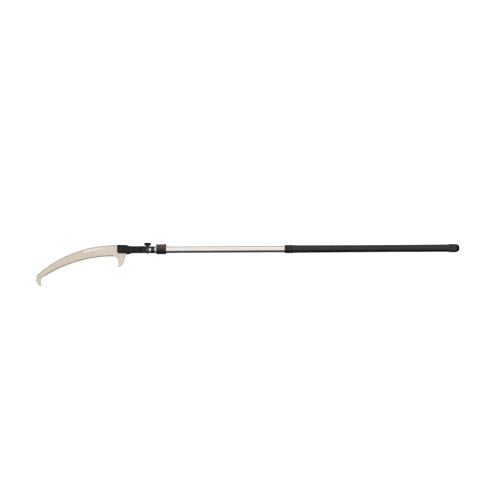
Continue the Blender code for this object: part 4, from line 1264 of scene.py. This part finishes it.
def make_holder():
    stations = []
    for x, top, bottom, half_z, power in HOLDER_STATIONS:
        stations.append((x, (top - bottom) / 2 - CHORD, half_z - CHORD, power, (top + bottom) / 2))
    holder = loft("fine_head_holder", stations)
    blade_low, blade_high = extent("saw_blade")
    slot = (blade_low.z - GAP, blade_high.z + GAP)
    knob_x = axis_of("clamp_knob").x
    tube_bore = oval(*grown(half_of("inner_tube"), RUNNING_GAP))
    core = oval(*grown(half_of("inner_tube"), -CORE_INSET))
    shoulder = ends_of("inner_tube")[0] - GAP
    tang = (TANG_BOTTOM - BLADE_PLAY, TANG_TOP + BLADE_PLAY)
    front = HOLDER_STATIONS[0][0] - PAST
    wide = (-BEYOND, BEYOND)
    cutters = [
        block("blade_slot", (front, ROOT_REAR + BLADE_PLAY), (-BEYOND, ROOT_TOP + BLADE_PLAY), slot),
        block("tang_slot", (ROOT_REAR - 1, TANG_REAR + 1), tang, slot),
        prism("core", core, CORE_FRONT, shoulder + 1, ALONG_X),
        prism("bore", tube_bore, shoulder, HOLDER_REAR, ALONG_X),
        block("rear_opening", (SLEEVE_SIDE_END, HOLDER_REAR), REAR_OPENING_Y, wide),
        prism("slit", keyhole(), 0, BEYOND),
        rod("bolt_hole", (knob_x, 0), CLAMP_HOLE_RADIUS, *wide, ALONG_Y),
    ]
    for side in (-1, 1):
        limits = sorted((side * HOLDER_PANEL_FLOOR, side * BEYOND))
        cutters.append(prism("panel", almond(*HOLDER_PANEL), *limits))
        limits = sorted((side * HOLDER_CHEEK_FLOOR, side * BEYOND))
        cutters.append(prism("cheek", rounded_box(*HOLDER_CHEEK, 4.0), *limits))
    for centre in BLADE_BOLTS.values():
        cutters += [
            rod("shank_hole", centre, BOLT_HOLE_RADIUS, *wide, ALONG_Z),
            rod("head_recess", centre, BOLT_HEAD_RADIUS + GAP, BOLT_HEAD_SEAT - GAP, BEYOND, ALONG_Z),
            prism("nut_recess", hexagon(centre, NUT_ACROSS_FLATS + 2 * GAP), -BEYOND, NUT_SEAT + GAP),
        ]
    cut(holder, *cutters)
    soften(holder, 0.35, 2, 50)
    place_piece(holder, "head_holder")


def make_blade_bolts():
    head = BOLT_HEAD_RADIUS
    seat = BOLT_HEAD_SEAT
    shank = 2.75
    socket = 4.0
    for name, (x, y) in BLADE_BOLTS.items():
        node = "blade_bolt_" + name
        low, high = extent(node)
        profile = [(0, high.z), (head - 1.0, high.z), (head - 0.4, high.z - 0.15), (head, high.z - 0.7)]
        profile += [(head, seat), (shank, seat), (shank, low.z + 0.5), (shank - 0.5, low.z), (0, low.z)]
        bolt = lathe("fine_" + node, profile, at(x, y, 0, ALONG_Z))
        levels = []
        for height, width in ((seat + 1.0, socket), (high.z - 0.3, socket), (high.z + 0.4, socket + 1.4)):
            levels.append((height, hexagon((x, y), width)))
        cut(bolt, stack("socket", levels))
        place_piece(bolt, node)
        node = "blade_nut_" + name
        low, high = extent(node)
        nut = prism("fine_" + node, hexagon((x, y), NUT_ACROSS_FLATS), low.z, high.z)
        soften(nut, 0.35, 2, 30)
        cut(nut, flared("thread", circle((x, y), BOLT_HOLE_RADIUS), (low.z, high.z), flare=0.4))
        place_piece(nut, node)


def make_head_clamp():
    knob_x = axis_of("clamp_knob").x
    low, high = extent("clamp_saddle")
    outer = grown(SLEEVE_HALF, GAP + SADDLE_WALL)
    bore = grown(SLEEVE_HALF, GAP)
    outside = round_ends(low.x, high.x, outer, 0.4, SQUARE_POWER, SLEEVE_CENTRE_Y, 3)
    inside = round_ends(low.x, high.x, bore, 0.2, SQUARE_POWER, SLEEVE_CENTRE_Y, 2, -1)
    saddle = loft("fine_clamp_saddle", outside + inside[::-1], closed=True)
    cut(
        saddle,
        block("open_side", (low.x - PAST, high.x + PAST), (-BEYOND, low.y), (-BEYOND, BEYOND)),
        rod("bolt_way", (knob_x, 0), CLAMP_HOLE_RADIUS, PAST, BEYOND, ALONG_Y),
    )
    place_piece(saddle, "clamp_saddle")
    low, high = extent("clamp_bolt")
    seat = low.y + 5.1
    shank = 2.75
    head = 4.2
    profile = [(0, high.y), (shank - 0.6, high.y), (shank, high.y - 0.6), (shank, seat)]
    profile += [(head - 0.3, seat), (head, seat - 0.3)]
    profile += reversed(dome(head, low.y, -1.9, 6)[:-1])
    turned("clamp_bolt", profile, at(knob_x, 0, 0, ALONG_Y), 40)
    low, high = extent("knob_washer")
    reach = (high.x - low.x) / 2
    hole = CLAMP_HOLE_RADIUS
    profile = [(hole + 0.2, high.y), (reach - 0.35, high.y), (reach - 0.1, high.y - 0.1)]
    profile += [(reach, high.y - 0.35), (reach, low.y + 0.15), (reach - 0.15, low.y)]
    profile += [(hole + 0.2, low.y), (hole, low.y + 0.2), (hole, high.y - 0.2)]
    turned("knob_washer", profile, at(knob_x, 0, 0, ALONG_Y), 56, ring=True)


def make_knob():
    low, high = extent("clamp_knob")
    middle = axis_of("clamp_knob")
    radius = (high.z - low.z) / 2
    top = high.y
    lobes = 6
    scallop = 2.2
    waist = 10.0

    def warp(reach, angle):
        """Scallops round the head, which die out towards the waist."""
        share = max(0.0, min(1.0, (reach - waist) / (radius - waist)))
        wave = (0.5 - 0.5 * math.cos(lobes * angle)) ** 2
        return reach - scallop * share * wave

    bore = 6.1
    floor = top - 3.1
    rim = 3.6
    stem = 8.4
    profile = [(0, top - 0.7), (5.4, top - 0.7), (5.9, top - 0.5), (6.3, top), (10.4, top)]
    profile += arc((radius - rim, top - rim), rim, 90, 0, 6)
    profile += [(radius, top - 10.4), (radius - 0.3, top - 11.4), (radius - 1.2, top - 12.5)]
    profile += [(radius - 2.6, top - 13.2), (radius - 4.4, top - 13.6), (10.2, top - 14.6)]
    profile += [(8.9, top - 15.6), (stem, top - 17.0), (stem, low.y + 0.4), (stem - 0.4, low.y)]
    profile += [(bore + 0.3, low.y), (bore, low.y + 0.3), (bore, floor), (0, floor)]
    knob = lathe("fine_clamp_knob", profile, at(middle.x, 0, 0, ALONG_Y), 120, warp=warp)
    place_piece(knob, "clamp_knob", 45.0)


def finish_cad_nodes():
    """The pieces inside keep their CAD meshes, under the same finishes."""
    for node in ("tail_bush", "butt_plug", "snap_spring", "knob_insert", "brake_shoe"):
        obj = frame["nodes"][node]
        obj.data.materials.clear()
        obj.data.materials.append(FINISHES[SLOT_OF[node]])


# ---- studio


def make_floor():
    """A plain white sweep, which mirrors and glossy pieces don't pick up."""
    bm = bmesh.new()
    bmesh.ops.create_grid(bm, x_segments=24, y_segments=24, size=40.0)
    mesh = bpy.data.meshes.new("floor")
    bm.to_mesh(mesh)
    bm.free()
    floor = bpy.data.objects.new("floor", mesh)
    bpy.context.scene.collection.objects.link(floor)
    floor.location.z = CAD_BOX[0].z - 0.0005
    floor.visible_glossy = False
    finish = Finish("floor_paper", {"Specular IOR Level": 0.0})
    finish.colour(finish.noise((0.6, 0.6, 0.6)), (0.3, (0.88, 0.88, 0.88)), (0.7, (0.90, 0.90, 0.90)))
    finish.roughness(finish.noise((3, 3, 3)), 0.9, 1.0)
    mesh.materials.append(finish.material)


def make_world():
    """Reflections by direction round the pole, bright overhead and behind; a plain level for other rays."""
    world = bpy.data.worlds.new("studio")
    bpy.context.scene.world = world
    world.use_nodes = True
    sky = Nodes(world.node_tree)
    parts = sky.split(sky.add("ShaderNodeTexCoord").outputs["Generated"])
    turn = sky.spread(sky.math("ARCTAN2", parts[1], parts[2]), -math.pi, math.pi, 0.0, 1.0)
    stops = [(0.5 + degrees / 360, WORLD_TINT * level) for degrees, level in WORLD_STOPS]
    gradient = sky.tree.nodes["Background"]
    sky.link(sky.ramp(turn, stops), gradient.inputs["Color"])
    sky.link(sky.smooth(sky.math("ABSOLUTE", parts[0]), *WORLD_FADE), gradient.inputs["Strength"])
    path = sky.add("ShaderNodeLightPath")
    plain = sky.add("ShaderNodeBackground")
    plain.inputs["Color"].default_value = WORLD_PLAIN
    strength = sky.spread(path.outputs["Is Diffuse Ray"], 0.0, 1.0, 1.0, WORLD_DIFFUSE)
    sky.link(strength, plain.inputs["Strength"])
    mix = sky.add("ShaderNodeMixShader")
    sources = (path.outputs["Is Glossy Ray"], plain.outputs[0], gradient.outputs[0])
    for source, socket in zip(sources, mix.inputs):
        sky.link(source, socket)
    sky.link(mix.outputs[0], sky.tree.nodes["World Output"].inputs[0])


def make_light(name, tilt, angle, strength):
    """A wide soft source far away, tilted from overhead towards +Y."""
    data = bpy.data.lights.new(name, "SUN")
    data.angle = math.radians(angle)
    data.energy = strength
    light = bpy.data.objects.new(name, data)
    light.rotation_euler = (-math.radians(tilt), 0.0, 0.0)
    light.visible_glossy = False
    bpy.context.scene.collection.objects.link(light)


def make_camera():
    """Straight above, with a long lens, turned a little so that the butt lies slightly higher."""
    data = bpy.data.cameras.new("camera")
    height = 15.0
    framed_width = 2.71
    right = 0.0128
    up = 0.07317
    turn = math.radians(-0.344)
    data.sensor_width = 36.0
    data.lens = data.sensor_width * height / framed_width
    data.clip_end = 100.0
    camera = bpy.data.objects.new("camera", data)
    middle = (CAD_BOX[0] + CAD_BOX[1]) / 2
    camera.location = (middle.x + right, middle.y + up, height + middle.z)
    camera.rotation_euler = (0.0, 0.0, turn)
    bpy.context.scene.collection.objects.link(camera)
    bpy.context.scene.camera = camera


make_camera()
make_tubes()
make_grip()
make_end_cap()
make_pole_screws()
make_collar()
make_lever()
make_snap_button()
make_tip_ring()
make_blade()
make_holder()
make_blade_bolts()
make_head_clamp()
make_knob()
finish_cad_nodes()
make_floor()
make_world()
make_light("overhead", 0.0, 100.0, 5.2)
make_light("from_behind", 35.0, 90.0, 1.6)
bpy.context.scene.view_settings.view_transform = "Standard"
